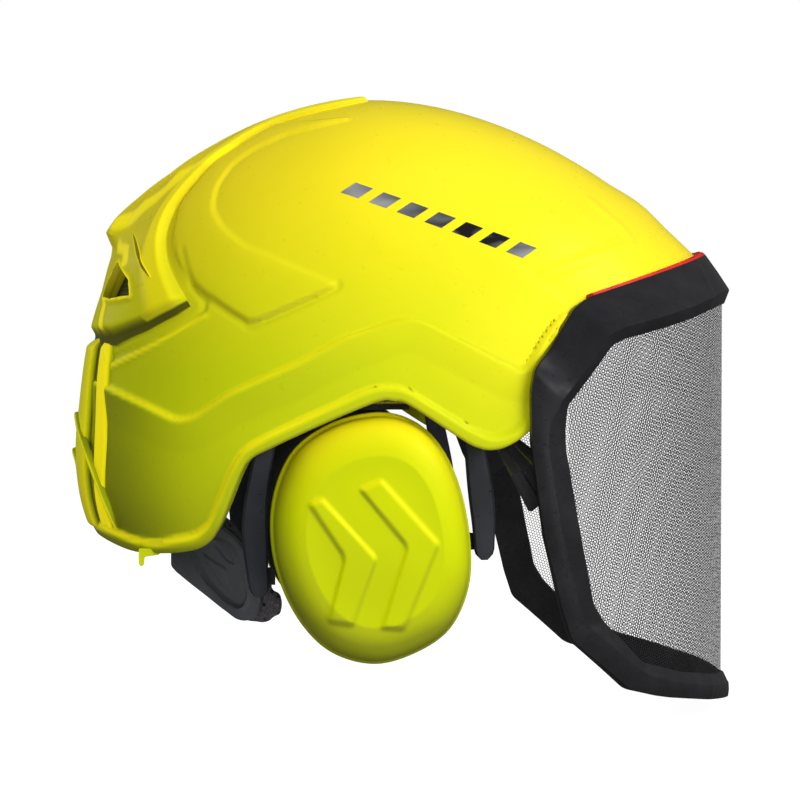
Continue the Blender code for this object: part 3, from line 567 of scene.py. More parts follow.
@dataclass(frozen=True)
class PunchedMesh(Finish):
    """Fine black mesh: staggered round holes, let through by the sheet's own map."""

    flat: bool = False
    pitch: float = 1.40
    hole: float = 0.435

    def paint(self, sheet: NodeSheet) -> None:
        """Holes where the distance to the nearest of two staggered grids of centres is small."""
        parts = sheet.add("ShaderNodeSeparateXYZ")
        sheet.join(sheet.place.outputs["Object" if self.flat else "UV"], parts.inputs[0])
        unit, first = (0.001, 1) if self.flat else (1.0, 0)
        across = sheet.math("MULTIPLY", parts.outputs[first], 1 / self.pitch / unit)
        up = sheet.math("MULTIPLY", parts.outputs[first + 1], 1 / (self.pitch * 0.866) / unit)
        gaps = []
        for shift in (0.0, 1.0):
            row = sheet.math("MULTIPLY", sheet.math("SUBTRACT", up, shift), 0.5)
            high = sheet.math("MULTIPLY", sheet.math("SUBTRACT", row, sheet.math("ROUND", row)),
                              2 * 0.866)
            cell = sheet.math("SUBTRACT", across, 0.5 * shift)
            wide = sheet.math("SUBTRACT", cell, sheet.math("ROUND", cell))
            gaps.append(sheet.math("SQRT", sheet.math("ADD", sheet.math("MULTIPLY", wide, wide),
                                                      sheet.math("MULTIPLY", high, high))))
        nearest = sheet.math("MINIMUM", gaps[0], gaps[1])
        web = sheet.spread(nearest, self.hole - 0.02, self.hole + 0.02, 0, 1)
        if self.flat:
            sheet.join(sheet.blend(web, (0.002, 0.002, 0.002, 1), (0.09, 0.095, 0.05, 1)),
                       sheet.shader.inputs["Base Color"])
            sheet.set(roughness=0.6)
            return
        sheet.join(web, sheet.shader.inputs["Alpha"])
        tone = sheet.spread(sheet.noise(40, 3), 0.3, 0.7, 0, 1)
        sheet.join(sheet.blend(tone, (0.012, 0.012, 0.013, 1), (0.030, 0.030, 0.032, 1)),
                   sheet.shader.inputs["Base Color"])
        sheet.set(roughness=0.5)


@dataclass(frozen=True)
class SealRubber(Finish):
    """Soft red rubber."""

    def paint(self, sheet: NodeSheet) -> None:
        """Two close reds and a matt grain."""
        tone = sheet.spread(sheet.noise(90, 3), 0.35, 0.7, 0, 1)
        sheet.join(sheet.blend(tone, (0.70, 0.020, 0.012, 1), (0.52, 0.012, 0.010, 1)),
                   sheet.shader.inputs["Base Color"])
        sheet.set(roughness=0.45)
        sheet.bump(sheet.noise(1500, 2), 0.00005, 0.5)


@dataclass(frozen=True)
class Foam(Finish):
    """Dark moulded foam beads."""

    colour: tuple = (0.022, 0.022, 0.024, 1)

    def paint(self, sheet: NodeSheet) -> None:
        """Beads pressed together, with darker seams."""
        bead = sheet.cells(320, "F1")
        sheet.join(sheet.blend(sheet.spread(bead, 0.1, 0.7, 0, 1), (0.045, 0.045, 0.048, 1),
                               self.colour),
                   sheet.shader.inputs["Base Color"])
        sheet.set(roughness=0.92)
        sheet.bump(sheet.math("MULTIPLY", bead, -1.0), 0.0006, 0.7)


@dataclass(frozen=True)
class AirFabric(Finish):
    """Knitted fabric over foam, with small punched holes."""

    colour: tuple = (0.075, 0.068, 0.074, 1)
    hole: tuple = (0.008, 0.008, 0.009, 1)
    pitch: float = 260.0

    def paint(self, sheet: NodeSheet) -> None:
        """A knit of fine loops, specks of paler yarn and a scatter of holes."""
        dots = sheet.spread(sheet.cells(self.pitch), 0.16, 0.30, 0, 1)
        speck = sheet.spread(sheet.noise(1500, 2), 0.55, 0.75, 0, 1)
        yarn = sheet.blend(speck, self.colour, (0.22, 0.21, 0.22, 1))
        sheet.join(sheet.blend(dots, self.hole, yarn), sheet.shader.inputs["Base Color"])
        sheet.set(roughness=0.95, sheen_weight=0.25, sheen_roughness=0.5)
        knit = sheet.math("ADD", sheet.math("MULTIPLY", sheet.noise(1800, 2), 0.4), dots)
        sheet.bump(knit, 0.0006, 0.8)


@dataclass(frozen=True)
class Webbing(Finish):
    """Flat woven strap with ribs across it."""

    def paint(self, sheet: NodeSheet) -> None:
        """Two crossing waves of yarn."""
        waves = []
        for axis in ("X", "Y"):
            wave = sheet.add("ShaderNodeTexWave", bands_direction=axis)
            wave.inputs["Scale"].default_value = 160
            wave.inputs["Distortion"].default_value = 0.4
            sheet.join(sheet.place.outputs["Object"], wave.inputs["Vector"])
            waves.append(wave.outputs["Fac"])
        weave = sheet.math("MAXIMUM", waves[0], waves[1])
        sheet.join(sheet.blend(weave, (0.016, 0.016, 0.018, 1), (0.060, 0.060, 0.066, 1)),
                   sheet.shader.inputs["Base Color"])
        sheet.set(roughness=0.85, sheen_weight=0.2)
        sheet.bump(weave, 0.0004, 0.8)


@dataclass(frozen=True)
class PinSteel(Finish):
    """Turned steel."""

    def paint(self, sheet: NodeSheet) -> None:
        """Fine turning marks round the pin."""
        marks = sheet.noise(500, 4, (1, 6, 1))
        sheet.join(sheet.blend(marks, (0.40, 0.41, 0.43, 1), (0.66, 0.67, 0.69, 1)),
                   sheet.shader.inputs["Base Color"])
        sheet.join(sheet.spread(marks, 0.3, 0.7, 0.22, 0.38), sheet.shader.inputs["Roughness"])
        sheet.set(metallic=1.0)


@dataclass(frozen=True)
class CushionVinyl(Finish):
    """Soft black vinyl with a leather grain."""

    def paint(self, sheet: NodeSheet) -> None:
        """Small pebbled grain with creases between."""
        grain = sheet.cells(900, "DISTANCE_TO_EDGE")
        sheet.join(sheet.blend(sheet.spread(grain, 0.0, 0.25, 0, 1), (0.010, 0.010, 0.011, 1),
                               (0.030, 0.030, 0.033, 1)), sheet.shader.inputs["Base Color"])
        sheet.join(sheet.spread(sheet.noise(80, 3), 0.3, 0.7, 0.42, 0.58),
                   sheet.shader.inputs["Roughness"])
        sheet.bump(grain, 0.00025, 0.6)


@dataclass(frozen=True)
class TrimFoil(Finish):
    """Printed foil that fades from black to silver along the helmet."""

    def paint(self, sheet: NodeSheet) -> None:
        """The fade runs forward with a streak of light in it."""
        parts = sheet.add("ShaderNodeSeparateXYZ")
        sheet.join(sheet.place.outputs["Object"], parts.inputs[0])
        streak = sheet.noise(30, 2, (1, 0.2, 3))
        fade = sheet.math("ADD", sheet.spread(parts.outputs[2], 0.062, 0.100, -0.1, 0.75),
                          sheet.spread(streak, 0.35, 0.65, -0.4, 0.5))
        sheet.join(sheet.blend(sheet.spread(fade, 0.0, 1.0, 0, 1), (0.02, 0.02, 0.022, 1),
                               (0.70, 0.72, 0.74, 1)), sheet.shader.inputs["Base Color"])
        sheet.set(roughness=0.22, metallic=0.6)


SHELL_PLASTIC = SignalPlastic("shell_plastic", Slot.SHELL)
# The cup's painted lit colour for faces that look up, and its side colour, chosen by slope.
CUP_PLASTIC = SignalPlastic("cup_plastic", Slot.SHELL, up=(0.92, 0.80, 0.006, 1),
                            side=(0.58, 0.66, 0.001, 1), roughness=0.40, by_height=False)
GLOSS_BLACK = DarkPlastic("gloss_black", Slot.GLOSS, roughness=0.20, grain=0.00001)
FRAME_BLACK = DarkPlastic("frame_black", Slot.GLOSS, colour=(0.012, 0.012, 0.013, 1),
                          worn=(0.020, 0.020, 0.022, 1), roughness=0.30, grain=0.00001)
YOKE_BLACK = DarkPlastic("yoke_black", Slot.SATIN, colour=(0.026, 0.028, 0.036, 1),
                         worn=(0.038, 0.041, 0.050, 1), roughness=0.32, grain=0.00001)
SATIN_BLACK = DarkPlastic("satin_black", Slot.SATIN, colour=(0.014, 0.015, 0.017, 1),
                          worn=(0.026, 0.027, 0.030, 1), roughness=0.48, grain=0.00003)
CRADLE_GREY = DarkPlastic("cradle_grey", Slot.SATIN, colour=(0.088, 0.092, 0.102, 1),
                          worn=(0.108, 0.112, 0.122, 1), roughness=0.34, grain=0.00002)
VISOR_MESH = PunchedMesh("visor_mesh_finish", Slot.MESH)
GRILLE_MESH = PunchedMesh("grille_mesh_finish", Slot.MESH, flat=True, pitch=2.4, hole=0.30)
RED_RUBBER = SealRubber("red_rubber", Slot.SEAL)
LINER_FOAM = Foam("liner_foam", Slot.FOAM)
AIR_FABRIC = AirFabric("air_fabric", Slot.FABRIC)
STRAP_WEBBING = Webbing("strap_webbing", Slot.WEBBING)
STEEL = PinSteel("turned_steel", Slot.STEEL)
VINYL = CushionVinyl("cushion_vinyl_finish", Slot.VINYL)
FOIL = TrimFoil("trim_foil", Slot.SHELL)


# ---------------------------------------------------------------------- the dome

@dataclass(frozen=True)
class Dome:
    """The shell's smooth outer face, as a radius for each direction from its own centre."""

    centre_x: float = -14.0
    crown: float = 142.0
    brow_reach: float = 29.5
    brow_span: float = 68.0
    brow_power: float = 2.8
    half_width: float = 107.0
    side_power: float = 2.3
    squareness: float = 0.25
    back: Knots = ((-35, 141.0), (-20, 141.0), (-10, 137.5), (0, 133.5), (10, 132.5), (22, 134.5),
                   (33, 138.0), (48, 139.5), (64, 139.5), (80, 140.5), (90, 142.0))

    def radius(self, azimuth: Points, elevation: Points) -> Points:
        """The radius in each direction, in degrees."""
        turn, lean = np.radians(azimuth), np.radians(elevation)
        behind = np.cos(turn) < 0
        ahead = self.crown + self.brow_reach * (
            np.maximum(0.0, 90 - elevation) / self.brow_span) ** self.brow_power
        along = np.where(behind, curve_value(self.back, elevation), ahead)
        arch = ((np.cos(lean) / self.half_width) ** self.side_power
                + (np.abs(np.sin(lean)) / self.crown) ** self.side_power) ** (-1 / self.side_power)
        across = np.where(elevation <= 0, self.half_width / np.cos(lean), arch)
        power = 2 + np.where(behind, self.squareness * np.cos(lean) ** 2 * np.cos(turn) ** 2, 0)
        return ((np.abs(np.cos(turn)) / along) ** power
                + (np.abs(np.sin(turn)) / across) ** power) ** (-1 / power)

    def point(self, azimuth: Points, elevation: Points, height: Points | float = 0.0) -> Points:
        """Points on the face, raised along their radius.

        Args:
            azimuth: degrees from the front.
            elevation: degrees above the head opening.
            height: millimetres above the face.

        Returns:
            The points, with X, Y and Z on the last axis.
        """
        azimuth, elevation = np.broadcast_arrays(np.asarray(azimuth, float),
                                                 np.asarray(elevation, float))
        reach = self.radius(azimuth, elevation) + height
        turn, lean = np.radians(azimuth), np.radians(elevation)
        return np.stack([self.centre_x + reach * np.cos(lean) * np.cos(turn),
                         reach * np.cos(lean) * np.sin(turn), reach * np.sin(lean)], -1)

    def elevation_at(self, azimuth: Points, height: Points) -> Points:
        """The elevation at which the face has each height, at each azimuth."""
        low, high = np.full(np.shape(height), -60.0), np.full(np.shape(height), 90.0)
        for _ in range(34):
            middle = (low + high) / 2
            under = self.point(azimuth, middle)[..., 2] < height
            low, high = np.where(under, middle, low), np.where(under, high, middle)
        return (low + high) / 2

    def direction(self, x: Points, z: Points) -> tuple[Points, Points]:
        """Azimuth and elevation of the points of the left side seen at X and Z."""
        x, z = np.asarray(x, float), np.asarray(z, float)
        low, high = np.zeros(x.shape), np.full(x.shape, 180.0)
        for _ in range(34):
            middle = (low + high) / 2
            ahead = self.point(middle, self.elevation_at(middle, z))[..., 0] > x
            low, high = np.where(ahead, middle, low), np.where(ahead, high, middle)
        azimuth = (low + high) / 2
        return azimuth, self.elevation_at(azimuth, z)

    def trace(self, side_view: Points, height: float = 0.0) -> Points:
        """Points on the face under a line drawn in side view."""
        azimuth, elevation = self.direction(side_view[:, 0], side_view[:, 1])
        return self.point(azimuth, elevation, height)

    def bearing(self, points: Points) -> tuple[Points, Points]:
        """Azimuth and elevation of points near the face."""
        arm = points - np.array([self.centre_x, 0, 0])
        reach = np.linalg.norm(arm, axis=-1)
        return (np.degrees(np.arctan2(arm[..., 1], arm[..., 0])),
                np.degrees(np.arcsin(np.clip(arm[..., 2] / reach, -1, 1))))


@dataclass(frozen=True)
class Plate:
    """A raised area of the shell, drawn in side view and mirrored.

    Its height follows a profile of (millimetres inside the outline, height).
    """

    outline: Knots
    profile: Knots
    corner: float = 4.0


@dataclass(frozen=True)
class Rib:
    """A rounded rib or groove along a line drawn in side view."""

    line: Knots
    height: float
    width: float


DOME = Dome()


# ---------------------------------------------------------------------- outer shell

@dataclass
class OuterShell:
    """The hard shell with its plates, flange and vents."""

    wall: float = 3.0
    half_columns: int = 300
    rows: int = 150
    inner_rows: int = 12
    rim: Knots = ((144.0, 66.3), (128, 62), (104, 55.5), (82, 49), (68, 40.5), (60, 29), (55, 16),
                  (53, 4), (51, -5), (46, -11), (38, -16), (31, -17.6), (25, -16.6), (18, -13),
                  (-5, 2), (-12, 4), (-20, 3.5), (-45, -7), (-66, -17), (-74, -21.5), (-79, -29),
                  (-88, -52), (-94, -60), (-103, -63.5), (-116, -65), (-127, -65), (-140, -61),
                  (-147, -58))
    skirt: Knots = ((-160, 14), (-142, 11), (-121, 2), (-107, -4.5), (-100, -3.5), (-85, 7),
                    (-54, 21), (-34, 32), (-9, 40), (0, 40), (18, 31), (46, 17), (54, 31), (64, 43),
                    (90, 40), (90, -100), (-170, -100))
    flange: Knots = ((-152, -52), (-135, -56.5), (-123, -60), (-115, -60), (-98, -56), (-93, -51),
                     (-85, -30), (-81, -22), (-77, -17), (-67, -11), (-27, 8), (-19, 10.5),
                     (-10, 10.5), (-4, 8), (22, -8), (30, -11.5), (36, -11), (42, -8), (47, -2),
                     (49, 6), (52, 18), (60, 35), (90, 30), (90, -120), (-170, -120))
    swoosh: Knots = ((-20, 132), (-56, 123), (-71, 116), (-81, 109), (-88, 99), (-90, 89),
                     (-86, 81),
                     (-77, 73), (-63, 67), (-36, 55), (-42, 51), (-73, 37.5), (-78, 39), (-97, 52),
                     (-105, 62), (-109, 74), (-105, 92), (-88, 112), (-60, 129))

    covered: Knots = ((160, 70), (142, 68.2), (76, 48.4), (68, 43.8), (59.4, 31.2), (51, 17.4),
                      (49.5, 7), (49.5, -40), (160, -40))

    def plates(self) -> tuple[Plate, ...]:
        """The raised and sunk areas, in the order in which they add up."""
        return (Plate(self.skirt,
                      ((0, 0), (0.5, 0.5), (1.7, 1.7), (2.3, 1.9), (4.5, 1.7), (16, 0.9)), 3.5),
                Plate(self.flange,
                      ((0, 0), (0.4, 0.3), (1.8, 1.9), (2.4, 2.0), (4, 1.9), (11, 1.0)), 2.0),
                Plate(self.swoosh, ((0, 0), (0.4, 0.3), (1.2, 1.0), (2.2, 1.2), (6, 1.4)), 3.0))

    def ribs(self) -> tuple[Rib, ...]:
        """The rounded lines that have no area of their own."""
        return (Rib(((84, 93), (101, 75), (80, 67), (58, 59)), 0.6, 5.0),
                Rib(((-17, 72), (15, 70), (37, 63), (64, 45)), 0.5, 7.0),
                Rib(((-104, 70), (-100, 55), (-95, 46), (-100, 39), (-119, 29), (-140, 19)), -0.9,
                    2.6),
                Rib(((-101, 56), (-97, 51), (-79, 38.5), (-73, 37), (-41, 51), (-36, 55)), -1.0,
                    2.2),
                Rib(((-95, 41), (-119, 27), (-140, 16)), 0.7, 3.2))

    def relief(self, points: Points) -> Points:
        """How far each point of the face is raised.

        Args:
            points: places on the smooth face.

        Returns:
            Heights in millimetres.
        """
        half = points * np.array([1.0, 0.0, 1.0])
        half[:, 1] = np.abs(points[:, 1])
        flat = half[:, [0, 2]]
        height = np.zeros(len(points))
        for plate in self.plates():
            outline = rounded_corners(plate.outline, plate.corner, 260)
            gap, _ = line_distance(half, self.lifted(outline))
            height += broken_line(plate.profile, gap) * is_inside(flat, outline)
        for rib in self.ribs():
            gap, _ = line_distance(half, self.lifted(spline(rib.line, 60)))
            height += rib.height * eased(1 - gap / rib.width)
        cover = np.array(self.covered, float)
        gap, _ = line_distance(flat, cover)
        height = np.where(is_inside(flat, cover), height * (1 - eased(gap / 3.0)), height)
        azimuth, elevation = DOME.bearing(points)
        nose = eased(1 - np.abs(azimuth) / 16) * eased(1 - np.abs(elevation - 36) / 7)
        return height + 1.6 * nose

    def painted_light(self, points: Points, bearings: tuple[Points, Points]) -> Points:
        """Painted highlight along the skirt and flange ledges and the lower rib, and painted shade
        round the tail between them.
        """
        half = points.copy()
        half[:, 1] = np.abs(points[:, 1])
        flat = half[:, [0, 2]]
        total = np.zeros(len(points))
        inside = []
        for plate, strength in zip(self.plates()[:2], (0.55, 0.75)):
            outline = rounded_corners(plate.outline, plate.corner, 260)
            gap, _ = line_distance(half, self.lifted(outline))
            inside.append(is_inside(flat, outline))
            depth = np.where(inside[-1], gap, -gap)
            total += strength * eased(1 - np.abs(depth - 1.0) / 2.3) * eased((20 - flat[:, 0]) / 90)
        for rib in self.ribs()[-1:]:
            gap, _ = line_distance(half, self.lifted(spline(rib.line, 60)))
            total += 0.6 * eased(1 - gap / 2.0)
        turn = 180 - np.abs(bearings[0])
        turn = np.where(turn < 0, turn + 180, turn)
        shade = inside[0] & ~inside[1] & (flat[:, 0] < -80)
        total -= 0.55 * shade * eased(1 - (turn - 20) / 26) * (1 - np.minimum(total * 4, 1))
        return total

    def lifted(self, outline: Points) -> Points:
        """A side-view line laid on the face, where the face is under it."""
        line = DOME.trace(outline)
        line[:, 0], line[:, 2] = outline[:, 0], outline[:, 1]
        return line

    def snap(self, points: Points, reach: float) -> Points:
        """Moves the nearest points on to the plates' outlines, which keeps their edges clean."""
        half = points.copy()
        sign = np.where(points[:, 1] < 0, -1.0, 1.0)
        half[:, 1] = np.abs(points[:, 1])
        for plate in self.plates():
            line = self.lifted(rounded_corners(plate.outline, plate.corner, 260))
            gap, place = line_distance(half, line)
            close = (gap < reach) & (half[:, 1] > 6)
            half[close] = place[close]
        half[:, 1] *= sign
        return half

    def rim_bearings(self) -> tuple[Points, Points]:
        """Azimuth and elevation all the way round the lower edge."""
        rim = spline(self.rim, self.half_columns + 1)
        azimuth, elevation = DOME.direction(rim[:, 0], rim[:, 1])
        azimuth[0], azimuth[-1] = 0.0, 180.0
        return (np.concatenate([azimuth, 360 - azimuth[-2:0:-1]]),
                np.concatenate([elevation, elevation[-2:0:-1]]))

    def rings(self, shares: Points) -> tuple[Points, Points]:
        """Azimuths and elevations of rings from the crown (0) to the lower edge (1)."""
        azimuth, elevation = self.rim_bearings()
        even = np.arange(len(azimuth)) * 180.0 / self.half_columns
        share = np.asarray(shares)[:, None]
        return even + (azimuth - even) * share**2, 90 - (90 - elevation) * share

    def build(self) -> None:
        """Makes the shell's face, edge and inside in one skin."""
        turn, lean = self.rings(np.linspace(0, 1, self.rows + 1)[1:] ** 0.86)
        count = turn.shape[1]
        face = self.snap(DOME.point(turn, lean).reshape(-1, 3), 0.55)
        bearings = DOME.bearing(face)
        height = self.relief(face)
        outer = DOME.point(bearings[0], bearings[1], height).reshape(-1, count, 3)
        edge = height.reshape(-1, count)[-1]
        rings = [outer]
        for drop, sink in ((0.25, 0.35), (0.45, 1.0), (0.45, self.wall - 1.0),
                           (0.25, self.wall - 0.4)):
            rings.append(DOME.point(turn[-1], lean[-1] - drop, edge - sink)[None])
        inner_turn, inner_lean = self.rings(np.linspace(1, 0, self.inner_rows + 1)[:-1])
        rings.append(DOME.point(inner_turn, inner_lean, -self.wall))
        skin = np.concatenate(rings)
        points, faces = loft(skin, caps=False)
        top, under = len(points), len(points) + 1
        points = np.vstack([points, DOME.point(0, 90, height[0]), DOME.point(0, 90, -self.wall)])
        last = (len(skin) - 1) * count
        for k in range(count):
            n = (k + 1) % count
            faces.append((top, n, k))
            faces.append((under, last + k, last + n))
        shell = make_piece("outer_shell_skin", (points, faces), SHELL_PLASTIC, "helmet",
                           ["outer_shell"], sharp=50, painted_light=self.painted_light(face, bearings))
        cut_vents(shell)


def vent_outline(side: Side) -> tuple[Points, Points]:
    """Azimuths and elevations of a rear vent's corners."""
    turn = 180 - side.value * np.array([9.0, 16.5, 25.0, 22.8, 13.5])
    return turn, np.array([21.0, 20.6, 21.6, 24.6, 28.0])


def cut_vents(piece: bpy.types.Object) -> None:
    """Cuts the two triangular rear vents through a piece."""
    for side in Side:
        turn, lean = vent_outline(side)
        rings = np.stack([DOME.point(turn, lean, height) for height in (-14, 24)])
        points, faces = loft(rings)
        mesh = bpy.data.meshes.new("vent_cutter")
        mesh.from_pydata((points * MM).tolist(), [], faces)
        work = bmesh.new()
        work.from_mesh(mesh)
        bmesh.ops.recalc_face_normals(work, faces=work.faces)
        work.to_mesh(mesh)
        work.free()
        cutter = bpy.data.objects.new("vent_cutter", mesh)
        bpy.context.scene.collection.objects.link(cutter)
        cut = piece.modifiers.new("vent", "BOOLEAN")
        cut.operation = "DIFFERENCE"
        cut.solver = "EXACT"
        cut.object = cutter
        apply_modifiers(piece)
        bpy.data.objects.remove(cutter, do_unlink=True)


@dataclass
class VentGrille:
    """The fine grille behind a rear vent, shaped to the inside of the shell."""

    side: Side
    turn: tuple = (5.5, 28.5)
    lean: tuple = (18.0, 30.5)
    top: float = -3.2
    wall: float = 0.8

    def build(self) -> None:
        """Makes the grille with a shallow dish towards its middle."""
        turn, lean = np.meshgrid(np.linspace(*self.turn, 40), np.linspace(*self.lean, 30))
        middle = np.hypot((turn - 17) / 11.5, (lean - 24) / 6.2)
        dish = -0.5 * eased(1.15 - middle)
        outer = DOME.point(180 - self.side.value * turn, lean, self.top + dish)
        inner = DOME.point(180 - self.side.value * turn, lean, self.top - self.wall + dish)
        make_piece(f"vent_grille_{self.side.tag}_skin", slab(outer, inner), GRILLE_MESH, "helmet",
                   [f"vent_grille_{self.side.tag}"])


# ---------------------------------------------------------------------- rear fairing and tail

@dataclass
class RearFairing:
    """The winged cover over the rear vents, with its ribs, slits and central crest."""

    edge: Knots = ((-17, 140.5), (-60, 129), (-86, 113), (-103, 95), (-111, 79), (-110, 63),
                   (-101, 45))
    spine: tuple = (87, 72, 60, 49, 37, 25, 11.5)
    drop: Knots = ((0, 0.0), (0.07, 0.22), (0.25, 0.60), (0.50, 0.97), (1, 1.0))
    # A flat map of the fairing in millimetres: how long a degree is, and how much shorter a turn.
    degree: float = 2.4
    narrowing: float = 0.86
    slot: Knots = ((14.9, 34.1), (19.5, 32), (24.2, 29.2), (28.5, 26.8), (31.5, 25.2))
    # Lines as (degrees from the back, elevation), each with its half width in millimetres and
    # how strongly it is painted: above 0 a painted highlight, below 0 painted shade.
    marks: tuple = (
        (((3, 34.8), (9, 38), (14, 42.5), (18, 46.5), (24, 52), (30, 58), (38, 66)), 6.5, 0.85),
        (((8, 31.0), (15, 30.6), (17.5, 28.2)), 3.6, 0.9),
        (((12.0, 21.4), (13.2, 18.0), (15.6, 13.6)), 4.2, 1.1),
        (((0, 30), (0, 11)), 8.0, 0.55),
        (((1.0, 33.0), (4.5, 30.8)), 4.2, -1.0),
        (((7.0, 20.5), (8.0, 16.0), (9.5, 12.5)), 2.8, -1.0),
        (((25.5, 28.5), (23.5, 23.0), (26, 18.5), (22, 14.5)), 11.0, -0.42),
        (((31.5, 25.2), (34.0, 23.6), (35.5, 23.0)), 2.2, -0.7))
    rows: int = 180
    half_across: int = 88
    # Heights at these shares of the way from the centre to the rib, at each elevation.
    shares: tuple = (0, 0.1, 0.2, 0.3, 0.42, 0.6, 0.76, 0.84, 0.95, 1.0)
    levels: tuple = (
        (11.0, (4.8, 4.8, 1.6, 4.4, 4.6, 3.2, 3.3, 3.8, 4.8, 1.6)),
        (16.0, (3.8, 3.8, 1.2, 3.8, 4.2, 2.8, 2.9, 3.6, 4.7, 1.4)),
        (22.0, (2.8, 2.8, 1.4, 2.4, 2.4, 2.4, 2.6, 4.3, 4.6, 1.2)),
        (29.0, (3.6, 3.4, 2.4, 1.8, 2.2, 2.2, 2.4, 4.3, 4.4, 1.0)),
        (30.6, (4.6, 4.2, 2.8, 2.2, 2.2, 2.0, 2.2, 4.3, 4.4, 1.0)),
        (32.4, (10.4, 9.8, 5.4, 2.8, 2.2, 1.8, 2.0, 4.2, 4.3, 0.9)),
        (35.5, (9.8, 9.0, 5.0, 2.8, 2.0, 1.8, 1.8, 4.0, 4.2, 0.9)),
        (41.0, (6.8, 4.0, 4.8, 4.8, 3.2, 1.4, 1.4, 3.6, 3.9, 0.8)),
        (48.5, (3.8, 1.4, 1.2, 1.4, 2.4, 4.2, 2.4, 3.2, 3.4, 0.7)),
        (58.0, (2.6, 0.8, 0.6, 0.8, 1.2, 2.8, 2.8, 3.0, 2.9, 0.6)),
        (72.0, (2.2, 0.8, 0.6, 0.8, 1.2, 2.2, 2.4, 2.6, 2.4, 0.5)),
        (90.0, (1.6, 1.4, 1.2, 1.2, 1.4, 1.6, 1.6, 1.6, 1.6, 0.4)))

    def build(self) -> None:
        """Makes the fairing as one slab over the dome."""
        knots = [(x, z, lean) for (x, z), lean in zip(self.edge, self.spine)]
        path = spline(knots, self.rows)
        turn, lean = DOME.direction(path[:, 0], path[:, 1])
        share = np.linspace(-1, 1, 2 * self.half_across + 1)
        blend = broken_line(self.drop, 1 - np.abs(share))[None]
        azimuth = 180 + (180 - turn)[:, None] * share[None]
        elevation = lean[:, None] + (path[:, 2] - lean)[:, None] * blend
        height = self.profile(np.abs(share)[None] + 0 * elevation, elevation)
        height = height + self.details(np.abs(azimuth - 180), elevation)
        run = np.linspace(0, 1, self.rows)[:, None] + 0 * height
        under = eased((run - 0.962) / 0.02)
        height = height * (1 - 0.75 * under)
        # Painted shade on the underside chamfer at the fairing's lower end, and a painted highlight
        # along the rib near each edge.
        painted_light = self.painted_light(np.abs(azimuth - 180), elevation) * (1 - under) - under
        rib = eased(1.4 - np.abs(np.abs(share)[None] - 0.88) / 0.10) * (1 - under)
        painted_light = np.where(rib > 0.01, np.maximum(painted_light, 0.5 * rib), painted_light)
        outer = DOME.point(azimuth, elevation, height)
        inner = DOME.point(azimuth, elevation, -0.6)
        fairing = make_piece("rear_fairing_skin", slab(outer, inner), SHELL_PLASTIC, "helmet",
                             ["rear_fairing"], sharp=35, painted_light=painted_light)
        cut_vents(fairing)
        for side in Side:
            self.build_slot(side, turn, path[:, 2])

    def build_slot(self, side: Side, ribs: Points, leans: Points) -> None:
        """The slim slot below the crest: painted shade inside with paler painted fin stripes, and a
        raised lip with a painted highlight.
        """
        centre = spline(self.slot, 150)
        along = np.gradient(centre * (self.narrowing, 1), axis=0)
        along /= np.linalg.norm(along, axis=1, keepdims=True)
        taper = 0.60 * np.sin(np.linspace(0.02, math.pi - 0.02, 150)) ** 0.7
        rows, painted_tones, floors = [], [], []
        painted_fin_stripes = 0.5 + 0.5 * np.sin(np.linspace(0, 2 * math.pi * 24, 150))
        for across in np.linspace(-1, 1, 11):
            place = centre + np.stack([-along[:, 1] / self.narrowing, along[:, 0]],
                                      1) * (taper * across)[:, None]
            rib = 180 - np.interp(place[:, 1], leans[::-1], ribs[::-1])
            share = np.clip(1 - place[:, 0] / rib, 0, 1)
            lip = float(eased((abs(across) - 0.6) / 0.3))
            base = self.profile(1 - share, place[:, 1])
            rows.append(DOME.point(180 - side.value * place[:, 0], place[:, 1], base + 0.35
                                   + 0.35 * lip))
            floors.append(DOME.point(180 - side.value * place[:, 0], place[:, 1], base - 1.0))
            # Painted highlight on the lip; painted shade across the slot, lighter along the painted
            # fin stripes.
            painted_tones.append(lip - (1 - lip) * (0.55 + 0.45 * painted_fin_stripes))
        make_piece(f"fairing_slot_{side.tag}", slab(np.array(rows), np.array(floors)),
                   SHELL_PLASTIC,
                   "helmet", sharp=40, painted_light=np.array(painted_tones))

    def painted_light(self, turn: Points, elevation: Points) -> Points:
        """Painted highlight (positive) and painted shade (negative) along the fairing's lines, and
        a painted highlight round each vent.
        """
        flat = np.stack([turn * self.narrowing, elevation], -1).reshape(-1, 2) * self.degree
        total = np.zeros(len(flat))
        for line, width, value in self.marks:
            gap, _ = line_distance(flat, np.array(line, float) * (self.narrowing, 1) * self.degree)
            total += value * eased(1.5 - 1.5 * gap / width)
        corners, leans = vent_outline(Side.LEFT)
        frame = np.stack([(180 - corners) * self.narrowing, leans], 1) * self.degree
        gap, _ = line_distance(flat, np.vstack([frame, frame[:1]]))
        total = np.maximum(total, eased(1.5 - gap / 1.1))
        return np.clip(total, -1, 1).reshape(turn.shape)

    def profile(self, share: Points, elevation: Points) -> Points:
        """The fairing's height at a share of the way to its rib, between the listed levels."""
        leans = np.array([level for level, _ in self.levels])
        heights = np.stack([np.interp(share, self.shares, row) for _, row in self.levels])
        index = np.clip(np.searchsorted(leans, elevation) - 1, 0, len(leans) - 2)
        t = np.clip((elevation - leans[index]) / (leans[index + 1] - leans[index]), 0, 1)
        low = np.take_along_axis(heights, index[None], 0)[0]
        high = np.take_along_axis(heights, index[None] + 1, 0)[0]
        return low + (high - low) * t

